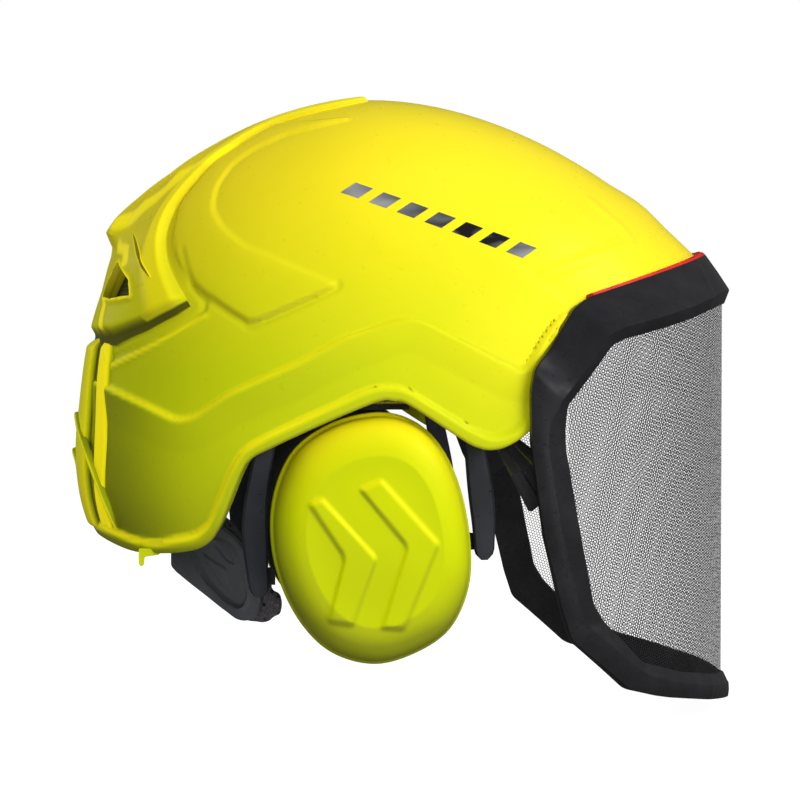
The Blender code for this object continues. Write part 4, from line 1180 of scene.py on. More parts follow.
    def details(self, turn: Points, elevation: Points) -> Points:
        """The steps across the crest and the raised frame round each vent.

        Args:
            turn: degrees from the back.
            elevation: degrees.

        Returns:
            Heights to add.
        """
        scale = self.degree
        flat = np.stack([turn * 0.9, elevation], -1).reshape(-1, 2) * scale
        extra = np.zeros(len(flat))
        wall = np.stack([eased(1 - np.abs(flat[:, 1] / scale - level) / 0.9)
                         * eased((width - flat[:, 0]) / 3)
                         for level, width in ((40.6, 7.0), (48.5, 24.0))])
        extra += 1.3 * wall.max(0) * eased((flat[:, 0] - 2.0) / 2.0)
        corners, leans = vent_outline(Side.LEFT)
        frame = np.stack([(180 - corners) * 0.9, leans], 1) * scale
        gap, _ = line_distance(flat, np.vstack([frame, frame[:1]]))
        extra += 1.2 * eased(1 - np.abs(gap - 0.8) / 2.0)
        return extra.reshape(turn.shape)


@dataclass
class Tail:
    """The strips down the back, the lamp strap's clips and the strap hooks."""

    top: float = 13.6
    foot: float = -24.6
    half_width: float = 51.0
    radius: float = 134.0
    # Lift and painted light (+ highlight, - shade) across the tail, from its centre line outwards.
    ridge: Knots = ((0, 4.6), (24.0, 4.5), (28.0, 3.8), (29.5, 1.1), (38.5, 1.0), (40, 2.7),
                    (48, 2.3), (49.5, 1.0), (51, -0.2))
    painted_tones: Knots = ((0, 0.35), (26, 0.45), (28.5, 0.7), (29.5, -0.95), (38.6, -0.95), (39.6, 1.0),
                    (49, 1.0), (50, 0.0))

    def build(self) -> None:
        """Makes the strips, the clips and the hooks."""
        lean = np.linspace(self.top, self.foot, 90)[:, None]
        share = np.linspace(-1, 1, 121)[None]
        across = share * self.half_width + 0.0 * lean
        azimuth = 180 + np.degrees(across / self.radius) * (0.90 + 0.12
                                                            * np.exp(-((lean + 7) / 9) ** 2))
        gap = np.abs(across)
        ridge = broken_line(self.ridge, gap)
        painted_tones = broken_line(self.painted_tones, gap)
        ends = eased((self.top - lean) / 3.0) * eased((lean - self.foot) / 1.6)
        outer = DOME.point(azimuth, lean + 0 * share, -0.2 + ridge * ends)
        inner = DOME.point(azimuth, lean + 0 * share, -1.2)
        make_piece("tail_spine_skin", slab(outer, inner), SHELL_PLASTIC, "helmet", ["tail_spine"],
                   30,
                   painted_light=painted_tones)
        self.bars("upper",
                  ((0.2, -2.6, 6.2), (5.5, -3.2, 6.2), (13.5, -8.0, 5.4), (18.5, -14.5, 4.2),
                            (20.8, -20.0, 3.4), (20.8, -24.0, 1.6)))
        self.bars("lower", ((0.2, -9.3, 5.8), (1.3, -9.7, 6.0), (1.9, -12.5, 4.6), (2.2, -18, 4.2),
                            (2.8, -22.2, 2.6)))
        for side in Side:
            self.hook(side)

    def bars(self, level: str, path: Knots) -> None:
        """A pair of raised bars that meet at the centre.

        Args:
            level: which of the two clips the pair is.
            path: one bar as (degrees from the back, elevation, lift).
        """
        line = spline(path, 40)
        whole = np.vstack([line[::-1] * (-1, 1, 1), line])
        centre = DOME.point(180 + whole[:, 0], whole[:, 1], whole[:, 2])
        along = np.gradient(centre, axis=0)
        along /= np.linalg.norm(along, axis=1, keepdims=True)
        out = centre - np.array([DOME.centre_x, 0, 0])
        out /= np.linalg.norm(out, axis=1, keepdims=True)
        across = np.cross(along, out)
        profile = rounded_corners(((-1.3, -3.4), (1.3, -3.4), (0.9, 0.0), (-0.9, 0.0)), 0.4, 20)
        rings = [[c + x * a + y * o for x, y in profile] for c, a, o in zip(centre, across, out)]
        # Painted shade on the bar's lower faces and painted highlight on the rest.
        painted_tones = np.tile([-0.35 if y < -0.5 else 0.5 for _, y in profile], len(rings))
        make_piece(f"lamp_clip_{level}_bar", loft(rings), SHELL_PLASTIC, "helmet",
                   [f"lamp_clip_{level}"], 30, painted_light=painted_tones)

    def hook(self, side: Side) -> None:
        """The small hook under the nape edge."""
        outline = rounded_corners(((-115, -64.6), (-124.5, -64.6), (-124.5, -71.8), (-123.3, -72.8),
                                   (-122.1, -72.0), (-121.8, -68.4), (-115, -67.4)), 0.6, 60)
        rings = [[(x, side.value * y, z) for x, z in outline] for y in np.linspace(62.5, 66.5, 4)]
        make_piece(f"strap_hook_{side.tag}_skin", loft(rings), SHELL_PLASTIC, "helmet",
                   [f"strap_hook_{side.tag}"], 30)


@dataclass
class SideTrim:
    """A row of slanted foil dashes on each side of the shell."""

    start: tuple = (-34.0, 96.0)
    end: tuple = (52.0, 65.0)
    dashes: int = 7
    height: float = 6.5
    slant: float = 5.0

    def build(self) -> None:
        """Lays each dash on the dome."""
        start, end = np.array(self.start), np.array(self.end)
        along = (end - start) / np.linalg.norm(end - start)
        across = np.array([-along[1], along[0]])
        length = np.linalg.norm(end - start) / self.dashes
        for side in Side:
            points, faces = [], []
            for index in range(self.dashes):
                origin = start + along * length * index
                rows = []
                for up in np.linspace(0, self.height, 5):
                    row = [origin + across * up + along * (self.slant * up / self.height + run)
                           for run in np.linspace(0, length * 0.62, 12)]
                    rows.append(row)
                flat = np.array(rows)
                shape = flat.reshape(-1, 2)
                grids = []
                for lift in (0.18, 0.02):
                    grid = DOME.trace(shape, lift).reshape(flat.shape[0], flat.shape[1], 3)
                    grids.append(grid if side is Side.LEFT else mirrored(grid))
                some, more = slab(*grids)
                faces += [tuple(k + len(points) for k in face) for face in more]
                points += some.tolist()
            make_piece(f"side_trim_{side.tag}", (np.array(points), faces), FOIL, "helmet")


# ---------------------------------------------------------------------- visor

@dataclass
class Visor:
    """The lifting face mesh: band, mesh, red lip and arms.

    The band runs between three matched lines: its outer edge, the edge of its flat face and its
    opening. The first knots of the outer edge lie on the dome, in side view.
    """

    centre_x: float = 50.0
    reach: float = 103.0
    half_width: float = 106.5
    inside: float = -2.0
    outside: float = 3.8
    brow: Knots = ((142.5, 68.2), (137, 66.9), (131, 65), (75.5, 48.2), (68, 43.6), (59.4, 31))
    rail: Knots = ((89.8, 17.4), (90.8, 7), (90.7, -16), (87.5, -57), (83, -91), (80.6, -104),
                   (65.2, -127), (53.5, -132), (34, -136.8), (0, -142.5))
    face: Knots = ((0, 52.4), (25, 51.7), (33, 48.7), (67, 35.6), (70.5, 32.6), (76.8, 17.7),
                   (82.8, 3.5), (85.9, -8), (86.2, -18), (83, -54), (78.3, -88), (76.8, -96.5),
                   (60.9, -119.7), (49.6, -125.7), (32.3, -130.2), (0, -135.0))
    opening: Knots = ((0, 47), (24, 45), (33, 42.6), (66, 30.5), (69.6, 27.4), (75.4, 14.2),
                      (81.3, 1.0), (81.9, -9), (81.8, -18), (78.2, -54), (74.4, -88), (71.6, -96),
                      (60.3, -115.2), (47, -121.5), (28, -126.2), (0, -130.2))
    # Across the band: from which line to the next (0 to 2), and the share of its depth.
    section: Knots = ((0.0, 0.0), (0.0, 0.55), (0.0, 0.86), (0.03, 0.97), (0.10, 1.0), (0.5, 1.06),
                      (0.92, 1.02), (0.985, 0.99), (1.06, 0.93), (1.90, 0.60), (1.97, 0.55),
                      (2.0, 0.46), (2.0, 0.06), (1.97, 0.0), (1.0, -0.02))

    def place(self, turn: Points, height: Points, offset: float = 0.0) -> Points:
        """Points on the visor's upright elliptical cylinder."""
        angle = np.radians(np.asarray(turn, float))
        flat = np.stack([np.cos(angle) / self.reach, np.sin(angle) / self.half_width], -1)
        flat = flat / np.linalg.norm(flat, axis=-1, keepdims=True) * offset
        return np.stack([self.centre_x + self.reach * np.cos(angle) + flat[..., 0],
                         self.half_width * np.sin(angle) + flat[..., 1],
                         np.asarray(height, float) + 0 * angle], -1)

    def build(self) -> None:
        """Makes the visor's pieces."""
        self.build_band()
        self.build_mesh()
        self.build_lip()
        for side in Side:
            self.build_arm(side)

    def build_band(self) -> None:
        """The band round the mesh, lofted over its three lines."""
        face = matched(self.face, 2.2)
        hole = matched(self.opening, 2.0)
        lines = []
        for share in (0, 1):
            lift, offset = 1.8 + 2.8 * share, self.inside + (self.outside - self.inside) * share
            lines.append((self.edge_line(lift, offset), self.place(face[:, 0], face[:, 1], offset),
                          self.place(hole[:, 0], hole[:, 1], offset)))
        crease = 0.7 * eased(1 - np.abs(face[:, 0] - 33) / 2.2)
        half = []
        for across, deep in self.section:
            index = min(int(across), 1)
            ends = [low[index] + (low[index + 1] - low[index]) * (across - index) for low in lines]
            ring = ends[0] + (ends[1] - ends[0]) * deep
            if deep > 0.9:
                out = ring - np.array([0.0, 0.0, 0.0])
                out[:, 2] = 0
                ring = ring + out / np.linalg.norm(out, axis=1, keepdims=True) * crease[:, None]
            half.append(ring)
        half = np.stack(half, 1)
        rings = np.concatenate([half, mirrored(half[-2:0:-1])])
        make_piece("visor_band", loft(rings, closed_path=True), FRAME_BLACK, "visor",
                   ["visor_frame"], sharp=24)

    def edge_line(self, lift: float, offset: float) -> Points:
        """The band's outer edge: its brow part raised over the dome, its rails on the cylinder."""
        brow = DOME.trace(np.array(self.brow, float), lift)
        brow[0, 1] = 0.0
        rail = np.array(self.rail, float)
        knots = np.vstack([brow, self.place(rail[:, 0], rail[:, 1], offset)])
        line = matched(knots, 3.0)
        flat = DOME.trace(matched(np.array(self.brow + ((51.0, 17.4),), float), 3.0), lift)
        end = len(flat)
        share = eased((np.arange(end) - (end - 10)) / 9.0)[:, None]
        line[:end] = flat * (1 - share) + line[:end] * share
        line[0, 1] = 0.0
        turn = matched(((89.0, 60.0),) * len(self.brow) + tuple(self.rail), 2.2)[end:]
        sides = self.place(turn[:, 0], turn[:, 1], offset)
        share = eased(np.arange(len(turn)) / 14.0)[:, None]
        line[end:] = line[end:] * (1 - share) + sides * share
        return line

    def limits(self, turn: Points) -> tuple[Points, Points]:
        """Lower and upper height of the opening at each turn round the face."""
        return (broken_line(self.opening[:7:-1], np.abs(turn)),
                broken_line(self.opening[:8], np.abs(turn)))

    def build_mesh(self) -> None:
        """The punched sheet, tucked into the band, with a map in millimetres."""
        turn = 81.0 * np.sin(np.linspace(-math.pi / 2, math.pi / 2, 141))
        low, high = self.limits(turn)
        share = np.linspace(0, 1, 41)[:, None]
        height = (low - 1.6) + (high - low + 3.2) * share
        faces_of = [self.place(turn[None] + 0 * height, height, offset) for offset in (0.20, 0.0)]
        points, faces = slab(*faces_of)
        piece = make_piece("visor_mesh_sheet", (points, faces), VISOR_MESH, "visor",
                           ["visor_mesh"], 80)
        arc = np.radians(turn) * (self.reach + self.half_width) / 2
        tilt = math.radians(15)
        chart = np.stack([arc[None] * math.cos(tilt) + height * math.sin(tilt),
                          height * math.cos(tilt) - arc[None] * math.sin(tilt)], -1).reshape(-1, 2)
        chart = np.vstack([chart, chart])
        layer = piece.data.uv_layers.new(name="sheet")
        index = np.zeros(len(piece.data.loops), int)
        piece.data.loops.foreach_get("vertex_index", index)
        layer.data.foreach_set("uv", chart[index].astype(np.float32).ravel())

    def build_lip(self) -> None:
        """The red rubber lip along the brow's rear edge."""
        brow = np.array(((142.5, 68.2), (137, 66.9), (131, 65), (100, 55.6), (76.5, 48.5)), float)
        line = DOME.trace(resample(brow, 80))
        azimuth, elevation = DOME.bearing(line)
        azimuth[0] = 0.0
        profile = ((-0.3, 0.5), (0.42, 0.4), (0.52, 0.8), (0.55, 1.8), (0.50, 3.4), (0.36, 4.3),
                   (-0.05, 4.5), (-0.3, 3.2))
        half = np.stack([DOME.point(azimuth, elevation + lean, lift) for lean, lift in profile], 1)
        rings = np.concatenate([mirrored(half[:0:-1]), half])
        make_piece("visor_lip", loft(rings), RED_RUBBER, "visor", ["visor_lip_seal"], 40)

    def build_arm(self, side: Side) -> None:
        """An arm from its pivot inside the shell to the rail, with a rounded section."""
        pivot = np.array([8.0, 0, 26.0])
        slope = math.radians(-53)
        along = np.array([math.cos(slope), 0, math.sin(slope)])
        across = np.array([-math.sin(slope), 0, math.cos(slope)])
        stations = np.array(((-7.5, 2.5, 0.0), (-6.5, 5.0, 0), (-4.0, 7.0, 0.0), (0, 7.8, 0),
                             (6.0, 7.5, 0.0),
                             (22.0, 6.5, 0.0), (38.0, 5.5, 0.0), (46.0, 5.0, -2.0),
                             (54.0, 5.5, -2.0),
                             (65.0, 8.0, 6.0), (82.0, 11.0, 6.4), (83, 10.2, 6.4)))
        profile = np.array(((-1, -0.4), (-0.86, -1), (0.86, -1), (1, -0.4), (1, 0.4), (0.86, 1),
                            (0.4, 1),
                            (0.3, 0.45), (-0.3, 0.45), (-0.4, 1), (-0.86, 1), (-1, 0.4)))
        rings = []
        for reach, half, flare in stations:
            centre = pivot + along * reach
            ring = [centre + across * half * a
                    + np.array([0, side.value * (95.0 + flare + 1.3 * b), 0])
                    for a, b in profile]
            rings.append(ring)
        make_piece(f"visor_arm_{side.tag}_skin", loft(rings), GLOSS_BLACK, "visor",
                   [f"visor_arm_{side.tag}"], 30)


# ---------------------------------------------------------------------- ear defenders

@dataclass
class EarDefender:
    """One ear cup with its bail and carrier."""

    side: Side
    outline: Knots = ((-19, -2), (-3, -5.5), (9, -16), (18, -34), (23, -58), (22.5, -80), (14, -99),
                      (-2, -110), (-21, -114.5), (-41, -108), (-56, -91), (-65, -67), (-65.5, -42),
                      (-57, -20), (-40, -7))
    centre: tuple = (-21.0, -58.0)
    rim: float = 93.0
    face: float = 121.0
    around: int = 200
    bail: Knots = ((-70.5, -85), (-72.5, -64), (-72.5, -44), (-68.5, -20), (-63, 8), (-50, 31),
                   (-22, 40), (6, 35), (19, 15), (24.5, -10), (28, -32), (30, -50), (30.5, -69))

    def build(self) -> None:
        """Makes the cup, the cushion and the bail."""
        self.build_cover()
        self.build_base()
        self.build_cushion()
        self.build_bail()

    def ring(self, share: Points | float, depth: Points | float,
             count: Optional[int] = None) -> Points:
        """The cup's outline drawn in by a share, at a depth from the helmet's middle."""
        outline = spline(self.outline, count or self.around, closed=True)
        centre = np.array(self.centre)
        flat = centre + (outline - centre) * share
        return np.stack([flat[:, 0], self.side.value * (depth + 0 * flat[:, 0]), flat[:, 1]], -1)

    def chevron_height(self, flat: Points) -> Points:
        """The raised height of the two chevrons on the cover's face."""
        height = np.zeros(len(flat))
        for outline in self.chevron_outlines():
            corners = rounded_corners(outline, 2.5, 160)
            closed = np.vstack([corners, corners[:1]])
            gap, _ = line_distance(flat, closed)
            height += 1.5 * eased(gap / 2.4) * is_inside(flat, corners)
        return height

    def chevron_outlines(self) -> tuple[Knots, ...]:
        """Two arrows that point forward, one behind the other."""
        rear = ((-52, -41), (-44.5, -37.5), (-19.5, -65), (-30.5, -96), (-43.5, -94), (-36, -65))
        front = ((-30, -34.5), (-18.5, -29.5), (8, -59), (-8, -98), (-20, -97), (-8.5, -60.5))
        return rear, front

    def build_cover(self) -> None:
        """The yellow cover, with a rolled rim, a crowned face and its chevrons."""
        depth = self.face - self.rim
        profile = ((1.0, 0.0), (1.0, 0.10), (0.996, 0.16), (0.976, 0.19), (0.968, 0.24),
                   (0.966, 0.34),
                   (0.955, 0.48), (0.93, 0.62), (0.89, 0.74), (0.83, 0.84), (0.76, 0.905),
                   (0.68, 0.945))
        shares = [spline(profile, 46)]
        inner = np.linspace(0.67, 0.0, 42)
        shares.append(np.stack([inner, 0.947 + 0.05 * eased(1 - inner / 0.67)], 1))
        path = np.vstack(shares)
        rings = []
        for share, out in path:
            ring = self.ring(max(share, 0.004), self.rim + depth * out)
            lift = self.chevron_height(ring[:, [0, 2]])
            if share < 0.93:
                ring[:, 1] += self.side.value * lift * eased((0.93 - share) / 0.12)
            rings.append(ring)
        outside = np.array(rings)
        inside = []
        for share, out in ((0.004, 0.90), (0.4, 0.90), (0.68, 0.84), (0.83, 0.66), (0.92, 0.42),
                           (0.95, 0.18),
                           (0.95, 0.0)):
            inside.append(self.ring(share, self.rim + depth * out))
        rings = np.concatenate([np.array(inside), outside])
        make_piece(f"cup_cover_{self.side.tag}_skin", loft(rings), CUP_PLASTIC,
                   f"ear_cup_{self.side.tag}", [f"cup_cover_{self.side.tag}"], 40)

    def build_base(self) -> None:
        """The black base that carries the cushion, with a stepped edge."""
        profile = ((0.74, 86.5), (0.95, 86.5), (0.975, 87.2), (0.985, 88.4), (0.985, 90.2),
                   (0.965, 90.6),
                   (0.965, 91.4), (0.99, 91.8), (0.99, 92.6), (0.93, 92.6), (0.92, 98), (0.83, 108),
                   (0.80, 108), (0.88, 97), (0.90, 88.7), (0.74, 88.7))
        rings = [self.ring(share, depth, 120) for share, depth in profile]
        make_piece(f"cup_base_{self.side.tag}_skin", loft(rings, closed_path=True), SATIN_BLACK,
                   f"ear_cup_{self.side.tag}", [f"cup_base_{self.side.tag}"], 30)

    def build_cushion(self) -> None:
        """The soft vinyl ring: a full rounded section that gathers at its seam."""
        knots = ((0.60, 86.0), (0.555, 83), (0.555, 77.5), (0.61, 73.6), (0.72, 72.6), (0.84, 73.4),
                 (0.935, 76.8), (0.96, 80.6), (0.93, 84.2), (0.885, 85.2), (0.88, 86.1))
        section = spline(knots, 30, closed=True)
        turn = np.linspace(0, 2 * math.pi, 120, endpoint=False)
        rings = []
        for share, depth in section:
            ring = self.ring(share, depth, 120)
            gather = 0.25 * np.sin(turn
                                   * 41) * eased((share - 0.86) / 0.08) * eased((depth - 78) / 4)
            ring[:, 1] += self.side.value * gather
            rings.append(ring)
        piece = make_piece(f"ear_cushion_{self.side.tag}_skin", loft(rings, closed_path=True),
                           VINYL,
                           f"ear_cup_{self.side.tag}", [f"ear_cushion_{self.side.tag}"], 60)

    def build_bail(self) -> None:
        """The bail that grips the cup at both ends, with rounded edges and thicker shoulders."""
        path = spline(self.bail, 120)
        rings = []
        profile = np.array(((-1, -0.5), (-0.82, -1), (0.82, -1), (1, -0.5), (1, 0.4), (0.8, 1),
                            (0.35, 1.12),
                            (-0.35, 1.12), (-0.8, 1), (-1, 0.4)))
        run = np.linspace(0, 1, len(path))
        tangent = np.gradient(path, axis=0)
        tangent /= np.linalg.norm(tangent, axis=1, keepdims=True)
        for (x, z), (tx, tz), share in zip(path, tangent, run):
            end = min(share, 1 - share)
            half = 4.5 * (1 + 0.28 * float(eased(1 - abs(end - 0.10) / 0.10)))
            half *= float(0.35 + 0.65 * eased(end / 0.012))
            rings.append([(x - tz * half * a, self.side.value * (87.0 + 2.0 * b), z + tx * half * a)
                          for a, b in profile])
        make_piece(f"ear_bail_{self.side.tag}_skin", loft(rings), YOKE_BLACK,
                   f"ear_bail_{self.side.tag}", [f"ear_yoke_{self.side.tag}"], 28)


# ---------------------------------------------------------------------- nape cradle

@dataclass
class NapeCradle:
    """The moulded cradle round the nape, with a pocket on each wing."""

    centre_x: float = -40.0
    reach: float = 66.0
    half_width: float = 59.0
    wall: float = 3.0
    end: float = 65.0
    edges: Knots = ((0, -79, -47), (20, -82, -48), (38, -89, -51), (49, -95.5, -57), (55, -99, -62),
                    (60, -98.8, -69.5), (63.5, -96.0, -80), (65, -91.5, -86))

    # Outlines in (degrees from the back, height).
    pocket: Knots = ((27, -66), (45, -62.5), (53, -66), (58, -77), (60, -88), (57, -94.5),
                     (50, -91),
                     (38, -81))
    tongue: Knots = ((34, -68), (50, -75.5), (52.5, -87), (47, -84))
    opening: Knots = ((41, -64.5), (50, -66), (53.5, -74), (50, -73.5))
    degree: float = 1.12

    def hollow(self, flat: Points, outline: Knots, corner: float,
               count: int) -> tuple[Points, Points]:
        """How far points of the flat map are from an outline, and which are inside it."""
        ring = rounded_corners(np.array(outline, float) * (self.degree, 1), corner, count)
        gap, _ = line_distance(flat, np.vstack([ring, ring[:1]]))
        return gap, is_inside(flat, ring)

    def place(self, turn: Points, offset: Points | float, height: Points) -> Points:
        """Points on the cradle's oval, turn in degrees from the back."""
        angle = np.radians(turn)
        return np.stack([self.centre_x - (self.reach + offset) * np.cos(angle),
                         (self.half_width + offset) * np.sin(angle), height + 0 * angle], -1)

    def limits(self, turn: Points) -> tuple[Points, Points]:
        """Lower and upper height of the cradle at each turn."""
        turn = np.abs(turn)
        return (curve_value([(t, low) for t, low, _ in self.edges], turn),
                curve_value([(t, high) for t, _, high in self.edges], turn))

    def build(self) -> None:
        """Makes the cradle as one sheet with its pockets pressed in."""
        turn = self.end * np.sin(np.linspace(-math.pi / 2, math.pi / 2, 241))
        low, high = self.limits(turn)
        share = np.linspace(0, 1, 91)[:, None]
        height = low + (high - low) * share
        flat = np.stack([np.abs(turn)[None] * self.degree + 0 * height, height], -1).reshape(-1, 2)
        gap, inside = self.hollow(flat, self.pocket, 4.0, 120)
        relief = np.where(inside, -1.5 * eased(gap / 1.4), 0.9 * eased(1 - gap / 2.2))
        gap, inside = self.hollow(flat, self.tongue, 2.0, 60)
        relief += inside * 1.0 * eased(gap / 1.2)
        gap, inside = self.hollow(flat, self.opening, 1.2, 60)
        relief -= inside * 0.9 * eased(gap / 0.8)
        edge = np.minimum(share, 1 - share) * (high - low)
        relief = relief.reshape(height.shape) - 1.2 * eased(1 - edge / 1.6)
        outer = self.place(turn[None] + 0 * height, self.wall + relief, height)
        inner = self.place(turn[None] + 0 * height, 0.0, height)
        make_piece("nape_cradle_skin", slab(outer, inner), CRADLE_GREY, "nape", ["nape_cradle"], 30)


# ---------------------------------------------------------------------- padding

@dataclass
class SoftPad:
    """A padded piece, swollen from its frame shape by a short cloth simulation."""

    node: str
    body: str
    keep_in: tuple[float, float, float]
    voxel: float = 3.0
    cap: float = 2.5
    fill: float = 0.6
    spacing: float = 24.0
    roof: float = 1000.0
    pressure: float = 4.0
    steps: int = 20
    channel_depth: float = 0.9
    channel_width: float = 1.6

    def build(self) -> None:
        """Makes the pad, swells it and sews its channels."""
        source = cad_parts[self.node]
        mesh = source.data.copy()
        mesh.transform(source.matrix_world)
        pad = bpy.data.objects.new(f"{self.node}_cover", mesh)
        bpy.context.scene.collection.objects.link(pad)
        remesh = pad.modifiers.new("even", "REMESH")
        remesh.mode = "VOXEL"
        remesh.voxel_size = self.voxel * MM
        apply_modifiers(pad)
        start = self.read(pad)
        self.swell(pad)
        moved = self.read(pad) - start
        far = np.linalg.norm(moved, axis=1, keepdims=True)
        self.write(pad, start + moved * np.minimum(1, self.cap / np.maximum(far, 1e-6)))
        smooth = pad.modifiers.new("round", "SUBSURF")
        smooth.levels = 1
        apply_modifiers(pad)
        self.sew(pad)
        pad.data.shade_smooth()
        pad.data.materials.clear()
        pad.data.materials.append(AIR_FABRIC.material())
        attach(pad, self.body)
        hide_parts(self.node)
        LOG.info("%s: %d faces on %s", pad.name, len(pad.data.polygons), self.body)

    def read(self, pad: bpy.types.Object) -> Points:
        """The pad's points in millimetres."""
        flat = np.empty(len(pad.data.vertices) * 3, np.float32)
        pad.data.vertices.foreach_get("co", flat)
        return flat.reshape(-1, 3).astype(float) / MM

    def write(self, pad: bpy.types.Object, points: Points) -> None:
        """Puts points back, drawn in to the space that the hard parts leave."""
        centre, reach, half = self.keep_in
        points = points.copy()
        share = np.hypot((points[:, 0] - centre) / reach, points[:, 1] / half)
        shrink = 1 / np.maximum(share, 1.0)
        points[:, 0] = centre + (points[:, 0] - centre) * shrink
        points[:, 1] *= shrink
        points[:, 2] = np.minimum(points[:, 2], self.roof)
        pad.data.vertices.foreach_set("co", (points * MM).astype(np.float32).ravel())
        pad.data.update()

    def swell(self, pad: bpy.types.Object) -> None:
        """Some steps of cloth under pressure, without gravity."""
        cloth = pad.modifiers.new("swell", "CLOTH")
        cloth.settings.effector_weights.gravity = 0.0
        cloth.settings.use_pressure = True
        cloth.settings.uniform_pressure_force = self.pressure
        cloth.settings.quality = 4
        scene = bpy.context.scene
        for frame_number in range(1, self.steps + 1):
            scene.frame_set(frame_number)
        apply_modifiers(pad)
        scene.frame_set(1)

    def sew(self, pad: bpy.types.Object) -> None:
        """Stitched channels at an even spacing round the pad."""
        points = self.read(pad)
        normals = np.empty(len(points) * 3, np.float32)
        pad.data.vertices.foreach_get("normal", normals)
        centre, reach, half = self.keep_in
        turn = np.arctan2(points[:, 1] / half, (points[:, 0] - centre) / reach)
        along = turn * (reach + half) / 2 / self.spacing
        gap = np.abs(along - np.round(along)) * self.spacing
        depth = self.channel_depth * np.exp(-(gap / self.channel_width) ** 2)
        self.write(pad, points - normals.reshape(-1, 3) * depth[:, None])


PADS = (SoftPad("nape_pad_L", "nape", (-40, 65.0, 58.0)),
        SoftPad("nape_pad_R", "nape", (-40, 65.0, 58.0)),
        SoftPad("sweat_pad", "helmet", (-4, 99.4, 73.4), voxel=2.5, cap=1.5, spacing=30.0),
        SoftPad("crown_pad", "helmet", (-6, 34.0, 34.0), voxel=2.5, cap=1.8, spacing=22.0,
                roof=99.9))


# ---------------------------------------------------------------------- the rest of the frame

@dataclass(frozen=True)
class Dressing:
    """Frame nodes whose shape stays, and the finish that each one takes."""

    finish: Finish
    nodes: tuple[str, ...]

    def apply(self) -> None:
        """Puts the finish on the nodes."""
        for name in self.nodes:
            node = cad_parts[name]
            node.data.materials.clear()
            node.data.materials.append(self.finish.material())


BOTH = ("L", "R")
DRESSINGS = (
    Dressing(SATIN_BLACK,
             ("headband", "nape_band", "knob_housing", "visor_catch_L", "visor_catch_R",
                           "strap_anchor_front_left", "strap_anchor_front_right",
                           "strap_anchor_rear_left", "strap_anchor_rear_right")
             + tuple(f"cup_lug_{end}_{s}" for end in ("front", "rear") for s in BOTH)
             + tuple(f"ear_bracket_{s}" for s in BOTH)),
    Dressing(GLOSS_BLACK, ("fit_knob",)),
    Dressing(LINER_FOAM, ("inner_liner", "sound_foam_L", "sound_foam_R")),
    Dressing(STRAP_WEBBING, ("crown_strap_left_front", "crown_strap_right_front")),
    Dressing(STEEL, ("visor_pin_L", "visor_pin_R", "swing_pin_L", "swing_pin_R")),
)


# ---------------------------------------------------------------------- studio

@dataclass(frozen=True)
class Lamp:
    """A square soft light: where it stands, what it looks at, and if reflections leave it out."""

    name: str
    place: tuple[float, float, float]
    target: tuple[float, float, float]
    size: float
    power: float
    hidden: bool = False


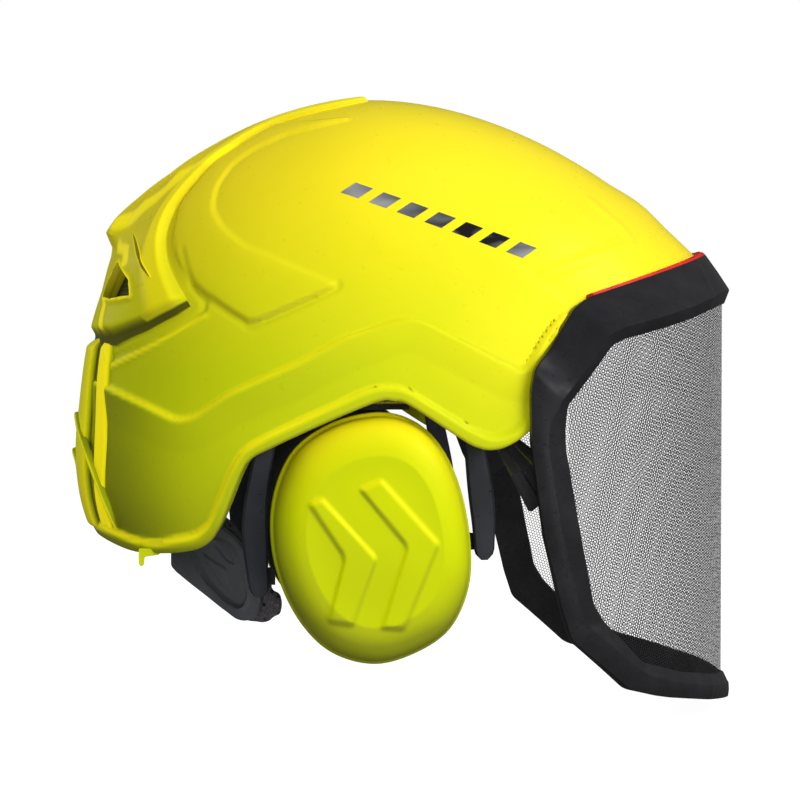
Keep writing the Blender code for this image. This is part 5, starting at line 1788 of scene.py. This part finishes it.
@dataclass
class Studio:
    """The floor, the lights and the camera."""

    azimuth: float = -5.0
    elevation: float = 2.0
    distance: float = 1.5
    lens: float = 141.75
    floor: float = -0.1475
    lamps: tuple[Lamp, ...] = (
        Lamp("key", (0.45, -0.60, 1.40), (0.0, 0.0, 0.05), 0.9, 5.0, hidden=True),
        Lamp("side", (0.80, -1.25, 0.45), (0.0, 0.0, 0.0), 0.9, 13.5, hidden=True),
        Lamp("fill", (-0.2, -1.5, 0.1), (0.0, 0.0, 0.0), 0.9, 3.0, hidden=True),
        Lamp("low", (-0.25, -1.0, -0.75), (0.0, 0.0, -0.05), 0.8, 4.5, hidden=True),
        Lamp("glance", (1.30, -0.75, 0.95), (0.1, -0.1, 0.0), 0.5, 1.6),
        Lamp("gloss", (1.15, -0.40, 0.90), (0.1, 0.0, 0.0), 0.45, 2.8),
        Lamp("sheen", (0.70, -1.30, 0.25), (0.05, 0.0, -0.05), 0.35, 1.0),
        Lamp("rim", (-1.15, 0.85, 0.45), (-0.1, 0.0, 0.02), 0.5, 12.0, hidden=True))

    def build(self) -> None:
        """Makes everything that isn't the helmet."""
        self.build_world()
        self.build_floor()
        for lamp in self.lamps:
            self.area(lamp)
        self.build_camera()

    def build_world(self) -> None:
        """A white surround that lights the helmet from above and in front, and less from behind."""
        world = bpy.data.worlds.new("studio")
        bpy.context.scene.world = world
        world.use_nodes = True
        tree = world.node_tree
        light, path = tree.nodes["Background"], tree.nodes.new("ShaderNodeLightPath")
        shown, mix = tree.nodes.new("ShaderNodeBackground"), tree.nodes.new("ShaderNodeMixShader")
        place, parts = tree.nodes.new("ShaderNodeTexCoord"), tree.nodes.new("ShaderNodeSeparateXYZ")
        tree.links.new(place.outputs["Generated"], parts.inputs[0])
        product = tree.nodes.new("ShaderNodeMath")
        product.operation = "MULTIPLY"
        for index, (axis, low, high) in enumerate(((2, 0.10, 0.62), (0, 0.38, 0.86))):
            span = tree.nodes.new("ShaderNodeMapRange")
            for slot, value in ((1, -0.8), (2, 1.0), (3, low), (4, high)):
                span.inputs[slot].default_value = value
            tree.links.new(parts.outputs[axis], span.inputs[0])
            tree.links.new(span.outputs[0], product.inputs[index])
        light.inputs[0].default_value = (0.97, 0.98, 1.0, 1)
        dim = tree.nodes.new("ShaderNodeMapRange")
        for slot, value in ((1, 0.0), (2, 1.0), (3, 1.0), (4, 0.35)):
            dim.inputs[slot].default_value = value
        tree.links.new(path.outputs["Is Glossy Ray"], dim.inputs[0])
        total = tree.nodes.new("ShaderNodeMath")
        total.operation = "MULTIPLY"
        tree.links.new(product.outputs[0], total.inputs[0])
        tree.links.new(dim.outputs[0], total.inputs[1])
        tree.links.new(total.outputs[0], light.inputs[1])
        shown.inputs[0].default_value = (1, 1, 1, 1)
        tree.links.new(path.outputs["Is Camera Ray"], mix.inputs[0])
        tree.links.new(light.outputs[0], mix.inputs[1])
        tree.links.new(shown.outputs[0], mix.inputs[2])
        tree.links.new(mix.outputs[0], tree.nodes["World Output"].inputs[0])

    def build_floor(self) -> None:
        """A plain pale floor."""
        size = 12.0
        mesh = bpy.data.meshes.new("floor")
        corners = [(-size, -size, self.floor), (size, -size, self.floor), (size, size, self.floor),
                   (-size, size, self.floor)]
        mesh.from_pydata(corners, [], [(0, 1, 2, 3)])
        floor = bpy.data.objects.new("floor", mesh)
        bpy.context.scene.collection.objects.link(floor)
        paint = NodeSheet("floor_paint")
        paint.set(base_color=(0.25, 0.25, 0.25, 1), roughness=0.9, specular_ior_level=0.0,
                  emission_color=(1, 1, 1, 1), emission_strength=0.93)
        mesh.materials.append(paint.material)
        floor.visible_diffuse = False
        floor.visible_shadow = False
        floor.visible_glossy = False

    def area(self, lamp: Lamp) -> None:
        """Makes one lamp."""
        light = bpy.data.lights.new(lamp.name, "AREA")
        light.size = lamp.size
        light.energy = lamp.power
        stand = bpy.data.objects.new(lamp.name, light)
        stand.location = lamp.place
        stand.visible_glossy = not lamp.hidden
        aim = Vector(lamp.target) - Vector(lamp.place)
        stand.rotation_euler = aim.to_track_quat("-Z", "Y").to_euler()
        bpy.context.scene.collection.objects.link(stand)

    def build_camera(self) -> None:
        """A long lens level with the helmet, a little behind its right side."""
        turn, lean = math.radians(self.azimuth), math.radians(self.elevation)
        place = Vector((math.sin(turn) * math.cos(lean), -math.cos(turn) * math.cos(lean),
                        math.sin(lean))) * self.distance
        camera = bpy.data.cameras.new("camera")
        camera.lens = self.lens
        camera.sensor_width = 36.0
        camera.clip_end = 100.0
        view = bpy.data.objects.new("camera", camera)
        view.location = place
        view.rotation_euler = (-place).to_track_quat("-Z", "Y").to_euler()
        bpy.context.scene.collection.objects.link(view)
        bpy.context.scene.camera = view
        bpy.context.scene.view_settings.view_transform = "Standard"


def main() -> None:
    """Builds the helmet from the shell outwards, then the studio."""
    logging.basicConfig(level=logging.INFO, format="%(message)s")
    for dressing in DRESSINGS:
        dressing.apply()
    for part in (OuterShell(), VentGrille(Side.RIGHT), VentGrille(Side.LEFT), RearFairing(),
                 Tail(), SideTrim(), Visor(), EarDefender(Side.RIGHT), EarDefender(Side.LEFT),
                 NapeCradle(), *PADS, Studio()):
        part.build()


if __name__ == "__main__":
    main()
